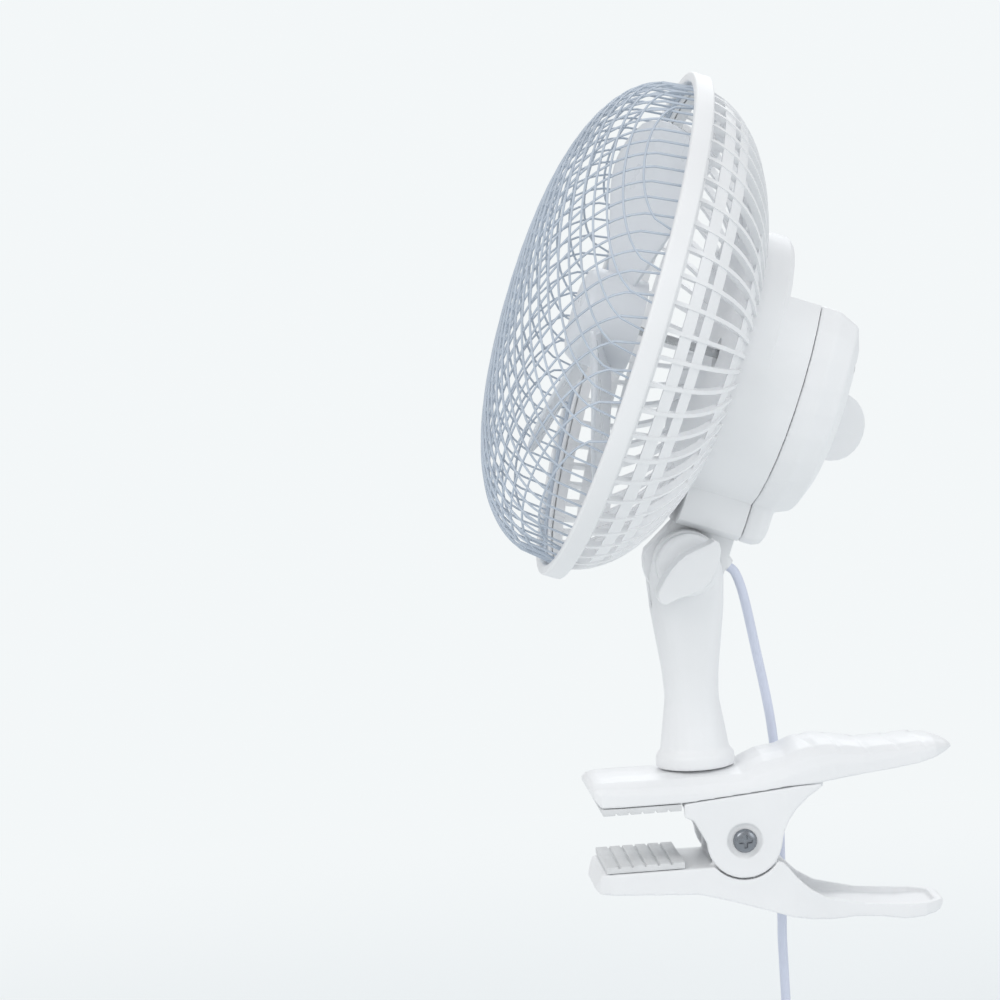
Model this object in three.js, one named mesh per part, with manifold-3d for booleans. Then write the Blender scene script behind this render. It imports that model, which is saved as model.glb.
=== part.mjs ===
// A small clip-on desk fan: a round guard with blades inside, a motor housing on a tilting knuckle,
// a swivelling post, and a sprung clamp. Millimetres, +Z up. The fan blows towards -Y, the handles
// of the clamp point to +Y, and all the pivots of the head and the clamp lie along X.
// The origin is the middle of the underside of the upper jaw's pad, which rests on the tabletop.
import * as THREE from 'three';
import { mergeVertices } from 'three/addons/utils/BufferGeometryUtils.js';
import Module from 'manifold-3d';

const wasm = await Module();
wasm.setup();

// ---------------------------------------------------------------- driving dimensions
const touchGap = 0.3; // between two pieces that touch
const runGap = 0.6; // between two pieces that move past each other
const rad = Math.PI / 180;

// guard
const ringRadius = 91;
const ringWall = 3.6;
const ringDepth = 6.6;
const lipWidth = 3;
const lipThickness = 1.6;
const netDepth = 40.2;
const netRoundness = 2.6;
const netPitch = 18.8;
const netStrand = 1.5;
const grilleDepth = 42;
const grilleRoundness = 2.15;
const grilleThickness = 2;
const ribCount = 36;
const ribWidth = 2.8;

// blades
const bladeCount = 3;
const bladeTipRadius = 72;
const bladeThickness = 1.5;
const bladeSpanRoot = 48 * rad;
const bladeSpanTip = 66 * rad;
const bladePitchRoot = 30 * rad;
const bladePitchTip = 16.5 * rad;
const hubRadius = 17;
const hubDepth = 20;
const hubWall = 2;
const bladePlane = -6; // the blades' middle, behind the ring's middle where positive
const bladeStart = 22 * rad;

// motor
const shaftRadius = 1.6;
const shaftFit = 0.3;
const rotorRadius = 12;
const rotorLength = 13.4;
const airGap = 0.4;
const statorWidth = 44;
const statorTop = 15;
const statorDrop = 34;
const yokeHeight = 6;
const windowWidth = 24;
const windowHeight = 13;
const coilWall = 4;
const bracketLength = 50;
const bracketHeight = 12;
const bracketThickness = 2;
const bearingRadius = 7;
const bearingReach = 2.6;

// housing
const drumRadius = 46;
const housingFront = 36.4;
const drumDepth = 11.5;
const seamPlane = 59;
const housingBack = 77;
const bodyTop = 26.5;
const bodyDrop = 3; // the body's round lies this far below the fan's axis
const housingWall = 2.4;
const chinHalfWidth = 16;
const chinDrop = 60.2;
const chinCorner = 7;
const chinBack = 68;
const rearRounding = 11;
const ventCount = 4;
const ventWidth = 2;
const ventLength = 26;
const ventPitch = 4.2;
const standoffRadius = 4;
const screwRadius = 1.4;
const screwHeadRadius = 3;
const screwHeadHeight = 2;
const screwBossRadius = 3.6;

// switch
const switchDrop = 12.5;
const switchWidth = 18;
const switchHeight = 19;
const switchDepth = 8;
const spindleRadius = 3;
const knobRadius = 12.6;
const knobBase = 2.5;
const knobReach = 14.2;
const knobFin = 8;

// tilt joint
const headTilt = 20.4 * rad;
const pivotY = 19.4;
const pivotZ = 85;
const pivotBehindRing = 44.3;
const pivotBelowRing = 72.6;
const tongueRadius = 14.4;
const tongueWidth = 8;
const earRadius = pivotBelowRing - chinDrop - runGap; // the ears clear the chin
const stemHalf = 13.4; // half of the post's widest stretch, below the ears
const postWidth = 22;
const boltRadius = 2.5;
const boltHeadRadius = 4.6;
const boltHeadHeight = 3;
const wingRadius = 11;
const wingBase = 5.5;
const wingReach = 8;
const wingLength = 28;
const wingBar = 6.5;
const wingAngle = 43 * rad;

// post and swivel
const collarRadius = 14;
const collarHeight = 5.8;
const spigotRadius = 6;
const washerRadius = 9;
const washerThickness = 1;
const swivelHeadRadius = 5;
const swivelHeadHeight = 2;
const swivelShankRadius = 1.8;
const swivelShankLength = 14;

// clamp
const jawHalfWidth = 20.5;
const handleHalfWidth = 17;
const leverWall = 2.2;
const padThickness = 2.3;
const padLength = 27.4;
const padHalfWidth = jawHalfWidth - 0.5;
const clampedBoard = 18; // thickness of the board that the jaws hold at rest
const noseY = -20;
const mouthBackY = 12.3;
const coverTop = 12;
const handleEndY = 109.5;
const clampPivotY = 32.8;
const clampPivotZ = -12.1;
const cheekRadius = 13.3;
const cheekThickness = 3;
const knuckleRadius = 11;
const lowerHandleEndY = 104;
const clampScrewRadius = 2;
const clampHeadRadius = 4.2;
const clampHeadHeight = 2.6;
const clampRecessRadius = 6.1;
const clampRecessDepth = 1;
const nutRadius = 4;
const nutHeight = 3.2;
const springRadius = 7;
const springWire = 1.8;
const springTurns = 5;
const springPitch = 2.6;
const springUpperLeg = 17;
const springLowerLeg = 30.5;
const springUpperAngle = 26 * rad; // how far each leg slopes away from the fan's side
const springLowerAngle = 40 * rad;

// mains cord and plug
const cordDiameter = 3.4;
const glandRadius = 3.4;
const glandTipRadius = 2.6;
const glandLength = 5;
const glandBehind = 11.2; // from the tilt bolt
const glandAbove = 4.6;
const coilRadius = 25;
const coilTurns = 9;
const coilLayers = 4; // the loops run in and out again twice
const coilSpacing = 0.7;
const tieWidth = 8;
const tieThickness = 1;
const plugLength = 34;
const plugWidth = 35;
const plugDepth = 13.6;
const plugNeckRadius = 4.5;
const pinRadius = 2;
const pinLength = 19;
const pinSpacing = 18.6;

// ---------------------------------------------------------------- colours and finishes
const whitePlastic = { color: 0xf2f3f5, roughness: 0.38, metalness: 0 };
const paleBlades = { color: 0xe3e8f0, roughness: 0.3, metalness: 0 };
const coatedWire = { color: 0xdfe3ea, roughness: 0.35, metalness: 0.1 };
const softPad = { color: 0xe9eaec, roughness: 0.75, metalness: 0 };
const steel = { color: 0xb9bcc0, roughness: 0.3, metalness: 0.95 };
const laminations = { color: 0x6a6c70, roughness: 0.5, metalness: 0.8 };
const copper = { color: 0xa8552c, roughness: 0.4, metalness: 0.8 };
const castZinc = { color: 0x9a9da1, roughness: 0.45, metalness: 0.8 };
const switchPlastic = { color: 0x2b2c2f, roughness: 0.6, metalness: 0 };
const cordSheath = { color: 0xd9deea, roughness: 0.45, metalness: 0 };
const tieWire = { color: 0xf5f5f5, roughness: 0.5, metalness: 0 };
const brass = { color: 0xc9a65a, roughness: 0.25, metalness: 0.9 };

// ---------------------------------------------------------------- shape helpers
const P = (x, y) => new THREE.Vector2(x, y);

// A closed mesh as a solid, with its faces pointing out.
function solid(geometry) {
  const bare = geometry.clone();
  bare.deleteAttribute('normal');
  bare.deleteAttribute('uv');
  const merged = mergeVertices(bare, 1e-4);
  const xyz = merged.attributes.position.array;
  const order = merged.index.array;
  const faces = [];
  let volume = 0;
  for (let i = 0; i < order.length; i += 3) {
    const [a, b, c] = [order[i], order[i + 1], order[i + 2]];
    if (a === b || b === c || c === a) continue;
    faces.push(a, b, c);
    const u = new THREE.Vector3().fromArray(xyz, 3 * a);
    const v = new THREE.Vector3().fromArray(xyz, 3 * b);
    const w = new THREE.Vector3().fromArray(xyz, 3 * c);
    volume += u.dot(v.cross(w));
  }
  if (volume < 0) faces.reverse();
  return new wasm.Manifold(
    new wasm.Mesh({
      numProp: 3,
      vertProperties: new Float32Array(xyz),
      triVerts: new Uint32Array(faces),
    }),
  );
}

// The geometry of a solid.
function surface(body) {
  const mesh = body.getMesh();
  const geometry = new THREE.BufferGeometry();
  const xyz = new Float32Array(mesh.vertProperties);
  geometry.setAttribute('position', new THREE.BufferAttribute(xyz, 3));
  geometry.setIndex(new THREE.BufferAttribute(new Uint32Array(mesh.triVerts), 1));
  return geometry;
}

const joined = (first, ...rest) => surface(rest.reduce((a, b) => a.add(solid(b)), solid(first)));
const cutBy = (first, ...rest) => surface(rest.reduce((a, b) => a.subtract(solid(b)), solid(first)));
const common = (first, second) => surface(solid(first).intersect(solid(second)));

function box(x0, x1, y0, y1, z0, z1) {
  const geometry = new THREE.BoxGeometry(x1 - x0, y1 - y0, z1 - z0);
  return geometry.translate((x0 + x1) / 2, (y0 + y1) / 2, (z0 + z1) / 2);
}

// An outline drawn in Y and Z, extruded along X, with its long edges rounded if asked.
function alongX(outline, x0, x1, rounding = 0) {
  const geometry = new THREE.ExtrudeGeometry(new THREE.Shape(outline), {
    depth: x1 - x0 - 2 * rounding,
    bevelEnabled: rounding > 0,
    bevelThickness: rounding,
    bevelSize: rounding,
    bevelOffset: -rounding,
    bevelSegments: 2,
    steps: 1,
  });
  const turn = new THREE.Matrix4().makeBasis(
    new THREE.Vector3(0, 1, 0),
    new THREE.Vector3(0, 0, 1),
    new THREE.Vector3(1, 0, 0),
  );
  return geometry.translate(0, 0, x0 + rounding).applyMatrix4(turn);
}

// An outline drawn in X and Z, extruded along Y, with its back edges rounded if asked.
function alongY(outline, y0, y1, rounding = 0) {
  const geometry = new THREE.ExtrudeGeometry(new THREE.Shape(outline), {
    depth: y1 - y0 - 2 * rounding,
    bevelEnabled: rounding > 0,
    bevelThickness: rounding,
    bevelSize: rounding,
    bevelOffset: -rounding,
    bevelSegments: 2,
    steps: 1,
  });
  return geometry.rotateX(Math.PI / 2).translate(0, y1 - rounding, 0);
}

// An outline drawn in X and Y, extruded along Z.
function alongZ(outline, z0, z1) {
  const geometry = new THREE.ExtrudeGeometry(new THREE.Shape(outline), {
    depth: z1 - z0,
    bevelEnabled: false,
  });
  return geometry.translate(0, 0, z0);
}

// A profile of (radius, height) turned about Y, Z or X.
const turnedY = (profile, segments = 32) => new THREE.LatheGeometry(profile, segments);
const turnedZ = (profile, segments = 32) => turnedY(profile, segments).rotateX(Math.PI / 2);
const turnedX = (profile, segments = 32) => turnedY(profile, segments).rotateZ(-Math.PI / 2);

const rod = (radius, from, to) => [P(0, from), P(radius, from), P(radius, to), P(0, to)];
const rodX = (radius, x0, x1, y, z, segments = 20) =>
  turnedX(rod(radius, x0, x1), segments).translate(0, y, z);
const rodY = (radius, y0, y1, x, z, segments = 20) =>
  turnedY(rod(radius, y0, y1), segments).translate(x, 0, z);
const rodZ = (radius, z0, z1, x, y, segments = 20) =>
  turnedZ(rod(radius, z0, z1), segments).translate(x, y, 0);

const sleeve = (inner, outer, from, to) => [
  P(inner, from),
  P(outer, from),
  P(outer, to),
  P(inner, to),
  P(inner, from),
];

// A closed skin through rings of points, all with the same count, with a fan over each end.
function loft(rings) {
  const count = rings[0].length;
  const points = rings.flat();
  const faces = [];
  for (let i = 0; i + 1 < rings.length; i++) {
    for (let j = 0; j < count; j++) {
      const k = (j + 1) % count;
      const [a, b] = [i * count + j, i * count + k];
      faces.push(a, b, b + count, a, b + count, a + count);
    }
  }
  const last = (rings.length - 1) * count;
  for (let j = 1; j + 1 < count; j++) {
    faces.push(0, j + 1, j);
    faces.push(last, last + j, last + j + 1);
  }
  const geometry = new THREE.BufferGeometry().setFromPoints(points);
  return geometry.setIndex(faces);
}

// A tube of the given number of sides along a curve.
function tube(curve, radius, sides, steps) {
  const section = new THREE.Shape(
    Array.from({ length: sides }, (_, i) => {
      const turn = (2 * Math.PI * i) / sides;
      return P(radius * Math.cos(turn), radius * Math.sin(turn));
    }),
  );
  return new THREE.ExtrudeGeometry(section, { extrudePath: curve, steps, curveSegments: sides });
}

// Points on an arc about (x, y), both ends included.
function arc(x, y, radius, fromAngle, toAngle, steps) {
  return Array.from({ length: steps + 1 }, (_, i) => {
    const turn = fromAngle + ((toAngle - fromAngle) * i) / steps;
    return P(x + radius * Math.cos(turn), y + radius * Math.sin(turn));
  });
}

const model = new THREE.Group();
const head = new THREE.Group(); // its origin is the ring's middle, +Y is backwards along the fan's axis
const tiltGroup = new THREE.Group();
tiltGroup.position.set(0, pivotY, pivotZ);
tiltGroup.rotation.x = -headTilt;
head.position.set(0, -pivotBehindRing, pivotBelowRing);
tiltGroup.add(head);
model.add(tiltGroup);

function piece(parent, name, geometry, look) {
  const mesh = new THREE.Mesh(geometry, new THREE.MeshStandardMaterial(look));
  mesh.name = name;
  parent.add(mesh);
  return mesh;
}

// ---------------------------------------------------------------- guard
const ringInner = ringRadius - ringWall;
const lipInner = ringInner - lipWidth;
const lipFront = -lipThickness / 2;
const lipBack = lipThickness / 2;

function guardRing() {
  const half = ringDepth / 2;
  return turnedY(
    [
      P(ringInner, -half),
      P(ringRadius, -half),
      P(ringRadius, half),
      P(ringInner, half),
      P(ringInner, lipBack),
      P(lipInner, lipBack),
      P(lipInner, lipFront),
      P(ringInner, lipFront),
      P(ringInner, -half),
    ],
    52,
  );
}

// The net's dome: how far in front of its rim it lies at a radius, and a table of its arc length.
const netRim = (ringInner + lipInner) / 2;
const netRimY = lipFront - touchGap;
const netDrop = (r) => (netDepth + netRimY) * (1 - (r / netRim) ** netRoundness) ** (1 / netRoundness);

function netArc() {
  const steps = 400;
  const arcs = [{ length: 0, radius: 0, drop: netDrop(0) }];
  for (let i = 1; i <= steps; i++) {
    const turn = (i / steps) * (Math.PI / 2);
    const radius = netRim * Math.sin(turn) ** (2 / netRoundness);
    const drop = (netDepth + netRimY) * Math.cos(turn) ** (2 / netRoundness);
    const last = arcs[i - 1];
    const length = last.length + Math.hypot(radius - last.radius, drop - last.drop);
    arcs.push({ length, radius, drop });
  }
  return arcs;
}

// A strand crosses the flat pattern in straight lines, and the dome lifts each crossing.
function frontNet() {
  const arcs = netArc();
  const reach = arcs[arcs.length - 1].length;
  const margin = 1.5 * netStrand;
  const onDome = (u, v, lift) => {
    const flat = Math.min(Math.hypot(u, v), reach);
    let i = arcs.findIndex((a) => a.length >= flat);
    i = Math.max(i, 1);
    const [a, b] = [arcs[i - 1], arcs[i]];
    const share = (flat - a.length) / (b.length - a.length);
    const radius = a.radius + (b.radius - a.radius) * share;
    const drop = a.drop + (b.drop - a.drop) * share;
    const slope = new THREE.Vector2(b.drop - a.drop, -(b.radius - a.radius)).normalize();
    const away = radius + lift * slope.x;
    const turn = Math.atan2(v, u) + Math.PI / 4;
    return new THREE.Vector3(
      away * Math.cos(turn),
      netRimY - drop - lift * slope.y,
      away * Math.sin(turn),
    );
  };
  const points = [];
  const faces = [];
  const corner = (u, v) => {
    points.push(onDome(u, v, 0), onDome(u, v, netStrand));
    return points.length - 2;
  };
  const quad = (a, b, c, d) => {
    faces.push(a, b, c, a, c, d);
    faces.push(a + 1, c + 1, b + 1, a + 1, d + 1, c + 1);
  };
  const wall = (a, b) => faces.push(a, a + 1, b + 1, a, b + 1, b);
  const half = netStrand / 2;
  const most = Math.ceil(reach / netPitch);
  const crossings = new Map();
  for (let k = -most; k < most; k++) {
    for (let l = -most; l < most; l++) {
      let [u, v] = [(k + 0.5) * netPitch, (l + 0.5) * netPitch];
      const out = Math.hypot(u, v);
      if (out > reach + margin) continue;
      if (out > reach - margin) {
        const pull = (reach - margin) / out;
        [u, v] = [u * pull, v * pull];
      }
      // corners in order: left low, right low, right high, left high
      const at = [
        corner(u - half, v - half),
        corner(u + half, v - half),
        corner(u + half, v + half),
        corner(u - half, v + half),
      ];
      quad(...at);
      crossings.set(`${k},${l}`, { u, v, at });
    }
  }
  const end = (low, high, du, dv, c) => {
    // the strand leaves the last crossing and stops at the rim of the flat pattern
    const stop = (u, v) => {
      const across = du ? v : u;
      const along = Math.sqrt(Math.max(reach ** 2 - across ** 2, 0));
      return du ? [du * along, v] : [u, dv * along];
    };
    const offsets = du ? [[0, -half * du], [0, half * du]] : [[half * dv, 0], [-half * dv, 0]];
    const [e, f] = offsets.map(([x, y]) => corner(...stop(c.u + x, c.v + y)));
    quad(low, e, f, high);
    wall(low, e);
    wall(e, f);
    wall(f, high);
  };
  for (const [key, c] of crossings) {
    const [k, l] = key.split(',').map(Number);
    const right = crossings.get(`${k + 1},${l}`);
    const above = crossings.get(`${k},${l + 1}`);
    if (right) {
      quad(c.at[1], right.at[0], right.at[3], c.at[2]);
      wall(c.at[1], right.at[0]);
      wall(right.at[3], c.at[2]);
    } else end(c.at[1], c.at[2], 1, 0, c);
    if (above) {
      quad(c.at[3], c.at[2], above.at[1], above.at[0]);
      wall(c.at[2], above.at[1]);
      wall(above.at[0], c.at[3]);
    } else end(c.at[2], c.at[3], 0, 1, c);
    if (!crossings.has(`${k - 1},${l}`)) end(c.at[3], c.at[0], -1, 0, c);
    if (!crossings.has(`${k},${l - 1}`)) end(c.at[0], c.at[1], 0, -1, c);
  }
  const geometry = new THREE.BufferGeometry().setFromPoints(points);
  return surface(solid(geometry.setIndex(faces)));
}

// The rear grille: ribs that run from a rim to a hub plate, crossed by flat bands.
const grilleRim = ringInner - touchGap;
const grilleRadius = (y) => grilleRim * (1 - (y / grilleDepth) ** grilleRoundness) ** (1 / grilleRoundness);
const hubPlateY = housingFront - touchGap;
const hubPlateRadius = grilleRadius(hubPlateY);

function rearGrille() {
  const rimFront = lipBack + touchGap;
  const boreRadius = shaftRadius + 4;
  // along the dome from rim to hub: where each stretch starts, and whether it is open between ribs
  const stretches = [
    { y: rimFront, open: false },
    { y: 5, open: true },
    { y: 9.2, open: false },
    { y: 13.8, open: true },
    { y: 15.6, open: false },
    { y: 19.6, open: true },
    { y: 26, open: true },
    { y: 31, open: false },
  ];
  const outer = stretches.map(({ y }) => P(grilleRadius(y), y));
  outer.push(P(hubPlateRadius, hubPlateY), P(boreRadius, hubPlateY));
  const open = [...stretches.map((s) => s.open), false];
  const inner = outer.map((p, i) => {
    const before = outer[Math.max(i - 1, 0)];
    const after = outer[Math.min(i + 1, outer.length - 1)];
    const flat = i >= outer.length - 2;
    const along = flat ? P(-1, 0) : P(after.x - before.x, after.y - before.y).normalize();
    if (i === 0) return P(p.x - grilleThickness, p.y);
    if (i === outer.length - 1) return P(p.x, p.y - grilleThickness);
    return P(p.x - grilleThickness * along.y, p.y + grilleThickness * along.x);
  });
  const ribTurn = ribWidth / grilleRim;
  const columns = [];
  for (let i = 0; i < ribCount; i++) {
    const turn = (2 * Math.PI * i) / ribCount;
    columns.push({ turn: turn - ribTurn / 2, rib: true }, { turn: turn + ribTurn / 2, rib: false });
  }
  const at = (turn, p) => new THREE.Vector3(p.x * Math.cos(turn), p.y, p.x * Math.sin(turn));
  const points = columns.flatMap(({ turn }) => outer.flatMap((p, j) => [at(turn, p), at(turn, inner[j])]));
  const rows = outer.length;
  const index = (i, j) => 2 * ((i % columns.length) * rows + j);
  const filled = (i, j) => {
    if (j < 0 || j >= rows - 1) return false;
    return columns[(i + columns.length) % columns.length].rib || !open[j];
  };
  const faces = [];
  const wall = (a, b) => faces.push(a, b, b + 1, a, b + 1, a + 1);
  for (let i = 0; i < columns.length; i++) {
    for (let j = 0; j < rows - 1; j++) {
      if (!filled(i, j)) continue;
      const [a, b, c, d] = [index(i, j), index(i + 1, j), index(i + 1, j + 1), index(i, j + 1)];
      faces.push(a, c, b, a, d, c);
      faces.push(a + 1, b + 1, c + 1, a + 1, c + 1, d + 1);
      if (!filled(i, j - 1)) wall(a, b);
      if (!filled(i + 1, j)) wall(b, c);
      if (!filled(i, j + 1)) wall(c, d);
      if (!filled(i - 1 + columns.length, j)) wall(d, a);
    }
  }
  const geometry = new THREE.BufferGeometry().setFromPoints(points);
  return surface(solid(geometry.setIndex(faces)));
}

// ---------------------------------------------------------------- blades
// One paddle blade: a twisted sheet whose pitch and width change from root to tip.
function blade(startTurn) {
  const rings = [];
  const along = 6;
  const across = 4;
  const root = hubRadius - hubWall / 2;
  for (let i = 0; i <= along; i++) {
    const share = i / along;
    const radius = root + (bladeTipRadius - root) * share;
    const rounding = Math.sqrt(1 - (1.56 * Math.max(share - 0.4, 0)) ** 4);
    const span = (bladeSpanRoot + (bladeSpanTip - bladeSpanRoot) * share) * rounding;
    const pitch = bladePitchRoot + (bladePitchTip - bladePitchRoot) * share;
    const front = [];
    const back = [];
    for (let j = 0; j <= across; j++) {
      const side = j / across - 0.5;
      const turn = startTurn + side * span + 0.12 * share;
      const rise = bladePlane - side * span * radius * Math.tan(pitch) + 3 * side * side;
      const lean = bladeThickness / 2;
      const point = (y) => new THREE.Vector3(radius * Math.cos(turn), y, radius * Math.sin(turn));
      front.push(point(rise - lean));
      back.push(point(rise + lean));
    }
    rings.push([...front, ...back.reverse()]);
  }
  return loft(rings);
}

function fanBlades() {
  const front = bladePlane - hubDepth / 2;
  const back = bladePlane + hubDepth / 2;
  const cup = turnedY(
    [
      P(0, front - 2),
      P(hubRadius - 5, front - 1.6),
      P(hubRadius, front + 2.5),
      P(hubRadius, back),
      P(hubRadius - hubWall, back),
      P(hubRadius - hubWall, front + 3.5),
      P(shaftRadius + 3, front + 1.5),
      P(shaftRadius + 3, back - 2),
      P(0, back - 2),
    ],
    24,
  );
  const blades = Array.from({ length: bladeCount }, (_, i) =>
    blade((2 * Math.PI * (i + 0.5)) / bladeCount + bladeStart),
  );
  const bore = rodY(shaftRadius + shaftFit, front + 3, back, 0, 0, 12);
  return cutBy(joined(cup, ...blades), bore);
}

// ---------------------------------------------------------------- motor
// Lengths along the fan's axis, from the housing's front wall backwards.
const frontWallBack = housingFront + housingWall;
const bracketFront = frontWallBack + bearingReach + 2.9;
const statorFront = bracketFront + bracketThickness + touchGap;
const statorLength = rotorLength + 2 * touchGap;
const statorBack = statorFront + statorLength;
const rearBracketFront = statorBack + touchGap;
const shaftFront = bladePlane - hubDepth / 2 + 3 + touchGap;
const shaftBack = rearBracketFront + bracketThickness + bearingReach + 1;
const standoffX = bracketLength / 2 - standoffRadius;

const motorShaft = () => rodY(shaftRadius, shaftFront, shaftBack, 0, 0, 12);

function rotor() {
  const y0 = statorFront + touchGap;
  return turnedY(sleeve(shaftRadius + shaftFit, rotorRadius, y0, y0 + rotorLength), 20);
}

function stator() {
  const half = statorWidth / 2;
  const block = box(-half, half, statorFront, statorBack, -statorDrop, statorTop);
  const bore = rodY(rotorRadius + airGap, statorFront - 1, statorBack + 1, 0, 0, 20);
  const low = -statorDrop + yokeHeight;
  const gap = box(-windowWidth / 2, windowWidth / 2, statorFront - 1, statorBack + 1, low, low + windowHeight);
  return cutBy(block, bore, gap);
}

function motorCoil() {
  const half = windowWidth / 2 - 0.5;
  const low = -statorDrop - coilWall - touchGap;
  const high = -statorDrop + yokeHeight + coilWall + touchGap;
  const ends = coilWall + touchGap;
  const block = box(-half, half, statorFront - ends, statorBack + ends, low, high);
  const core = box(
    -windowWidth,
    windowWidth,
    statorFront - touchGap,
    statorBack + touchGap,
    -statorDrop - touchGap,
    -statorDrop + yokeHeight + touchGap,
  );
  return cutBy(block, core);
}

function bearingBracket(plateFront, bossFront, bossBack) {
  const [half, tall] = [bracketLength / 2, bracketHeight / 2];
  const strap = box(-half, half, plateFront, plateFront + bracketThickness, -tall, tall);
  const boss = rodY(bearingRadius, bossFront, bossBack, 0, 0, 16);
  const bore = rodY(shaftRadius + shaftFit, bossFront - 1, bossBack + 1, 0, 0, 12);
  return cutBy(joined(strap, boss), bore);
}

const frontBracket = () =>
  bearingBracket(bracketFront, bracketFront - bearingReach, bracketFront + bracketThickness);
const rearBracket = () =>
  bearingBracket(
    rearBracketFront,
    rearBracketFront,
    rearBracketFront + bracketThickness + bearingReach,
  );

// ---------------------------------------------------------------- housing
// The cross-section behind the drum: a round body with a flat top and a chin below.
function bodySection(inset) {
  const radius = drumRadius - inset;
  const half = chinHalfWidth - inset;
  const bottom = -(chinDrop - inset);
  const corner = chinCorner - inset;
  const topTurn = Math.asin((bodyTop + bodyDrop - inset) / radius);
  const chinTurn = -Math.acos(half / radius);
  const right = arc(0, -bodyDrop, radius, topTurn, chinTurn, 9);
  const corners = arc(half - corner, bottom + corner, corner, 0, -Math.PI / 2, 2);
  const side = [...right, ...corners];
  return [...side, ...side.map((p) => P(-p.x, p.y)).reverse()];
}

// The same without the chin, for the part of the rear cover behind it.
function roundSection(inset) {
  const radius = drumRadius - inset;
  const topTurn = Math.asin((bodyTop + bodyDrop - inset) / radius);
  return arc(0, -bodyDrop, radius, topTurn, -Math.PI - topTurn, 22);
}

const screwPlaces = [P(-30, 8), P(30, 8), P(0, -54)];
const screwHeadY = (place) => (place.x === 0 ? chinBack : housingBack);

function tongue() {
  const [y, z] = [pivotBehindRing, -pivotBelowRing];
  const foot = -chinDrop + housingWall / 2;
  const outline = [
    P(housingFront + 0.4, foot),
    ...arc(y, z, tongueRadius, Math.PI, 2 * Math.PI, 14),
    P(y + tongueRadius, foot),
  ];
  return alongX(outline, -tongueWidth / 2, tongueWidth / 2);
}

const glandPlace = new THREE.Vector2(pivotBehindRing + glandBehind, -pivotBelowRing + glandAbove);
const glandTurn = 25 * rad; // below the fan's axis

// how far from the tilt bolt's middle the gland's tip swings
const glandReach = Math.hypot(
  glandBehind + glandLength * Math.cos(glandTurn) + glandTipRadius,
  glandAbove - glandLength * Math.sin(glandTurn) - glandTipRadius,
);

// The gland stands on its own Z axis and is turned to point back and down from the tongue.
function placeGland(geometry) {
  const down = -Math.PI / 2 - glandTurn;
  return geometry.rotateX(down).translate(0, glandPlace.x, glandPlace.y);
}

function housingFrontShell() {
  const drumBack = housingFront + drumDepth;
  const drum = turnedY(
    [
      P(0, housingFront),
      P(drumRadius, housingFront),
      P(drumRadius, drumBack - 2),
      P(drumRadius - 2, drumBack),
      P(0, drumBack),
    ],
    32,
  );
  const body = alongY(bodySection(0), housingFront, seamPlane);
  const hollow = alongY(bodySection(housingWall), frontWallBack, seamPlane + 1);
  const crown = rodY(drumRadius - housingWall, frontWallBack, drumBack - housingWall, 0, 0, 32);
  const shaftHole = rodY(bearingRadius / 2, housingFront - 1, frontWallBack + 1, 0, 0, 14);
  const vents = Array.from({ length: ventCount }, (_, i) => {
    const y = drumBack + 1.6 + ventPitch * (i * 0.6);
    return box(-ventLength / 2, ventLength / 2, y, y + ventWidth * 0.6, bodyTop - 4, bodyTop + 1);
  });
  const shell = cutBy(joined(drum, body), hollow, crown, shaftHole, ...vents);
  const standoffs = [-standoffX, standoffX].map((x) =>
    rodY(standoffRadius, frontWallBack - 1, bracketFront - touchGap, x, 0, 16),
  );
  const bosses = screwPlaces.map((p) => rodY(screwBossRadius, frontWallBack - 1, seamPlane - 1, p.x, p.y, 10));
  const holes = screwPlaces.map((p) =>
    rodY(screwRadius + touchGap, seamPlane - 11, seamPlane + 1, p.x, p.y, 8),
  );
  const boltHole = rodX(boltRadius + touchGap, -tongueWidth, tongueWidth, pivotBehindRing, -pivotBelowRing, 16);
  const socket = placeGland(rodZ(glandRadius + touchGap, 0, 20, 0, 0, 16));
  return cutBy(joined(shell, tongue(), ...standoffs, ...bosses), ...holes, boltHole, socket);
}

function housingRearCover() {
  const front = seamPlane + touchGap;
  const block = cutBy(
    alongY(roundSection(0), front - rearRounding, housingBack, rearRounding),
    box(-60, 60, front - 2 * rearRounding, front, -60, 60),
  );
  const chin = cutBy(
    alongY(bodySection(0), front - 6, chinBack, 4),
    box(-60, 60, front - 8, front, -80, 60),
  );
  const hollow = alongY(
    roundSection(housingWall),
    front - rearRounding,
    housingBack - housingWall,
    rearRounding - housingWall,
  );
  const chinHollow = alongY(bodySection(housingWall), front - 1, chinBack - housingWall);
  const shell = cutBy(joined(block, chin), hollow, chinHollow);
  const spindleHole = rodY(spindleRadius + touchGap, housingBack - 4, housingBack + 1, 0, -switchDrop, 14);
  const bosses = screwPlaces.map((p) =>
    rodY(screwBossRadius, front - 0.6, screwHeadY(p) - 1, p.x, p.y, 10),
  );
  const holes = screwPlaces.map((p) => rodY(screwRadius + touchGap, front - 2, 90, p.x, p.y, 8));
  const seats = screwPlaces.map((p) =>
    rodY(screwHeadRadius + touchGap, screwHeadY(p) - screwHeadHeight, 90, p.x, p.y, 12),
  );
  return cutBy(joined(shell, ...bosses), spindleHole, ...holes, ...seats);
}

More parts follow.
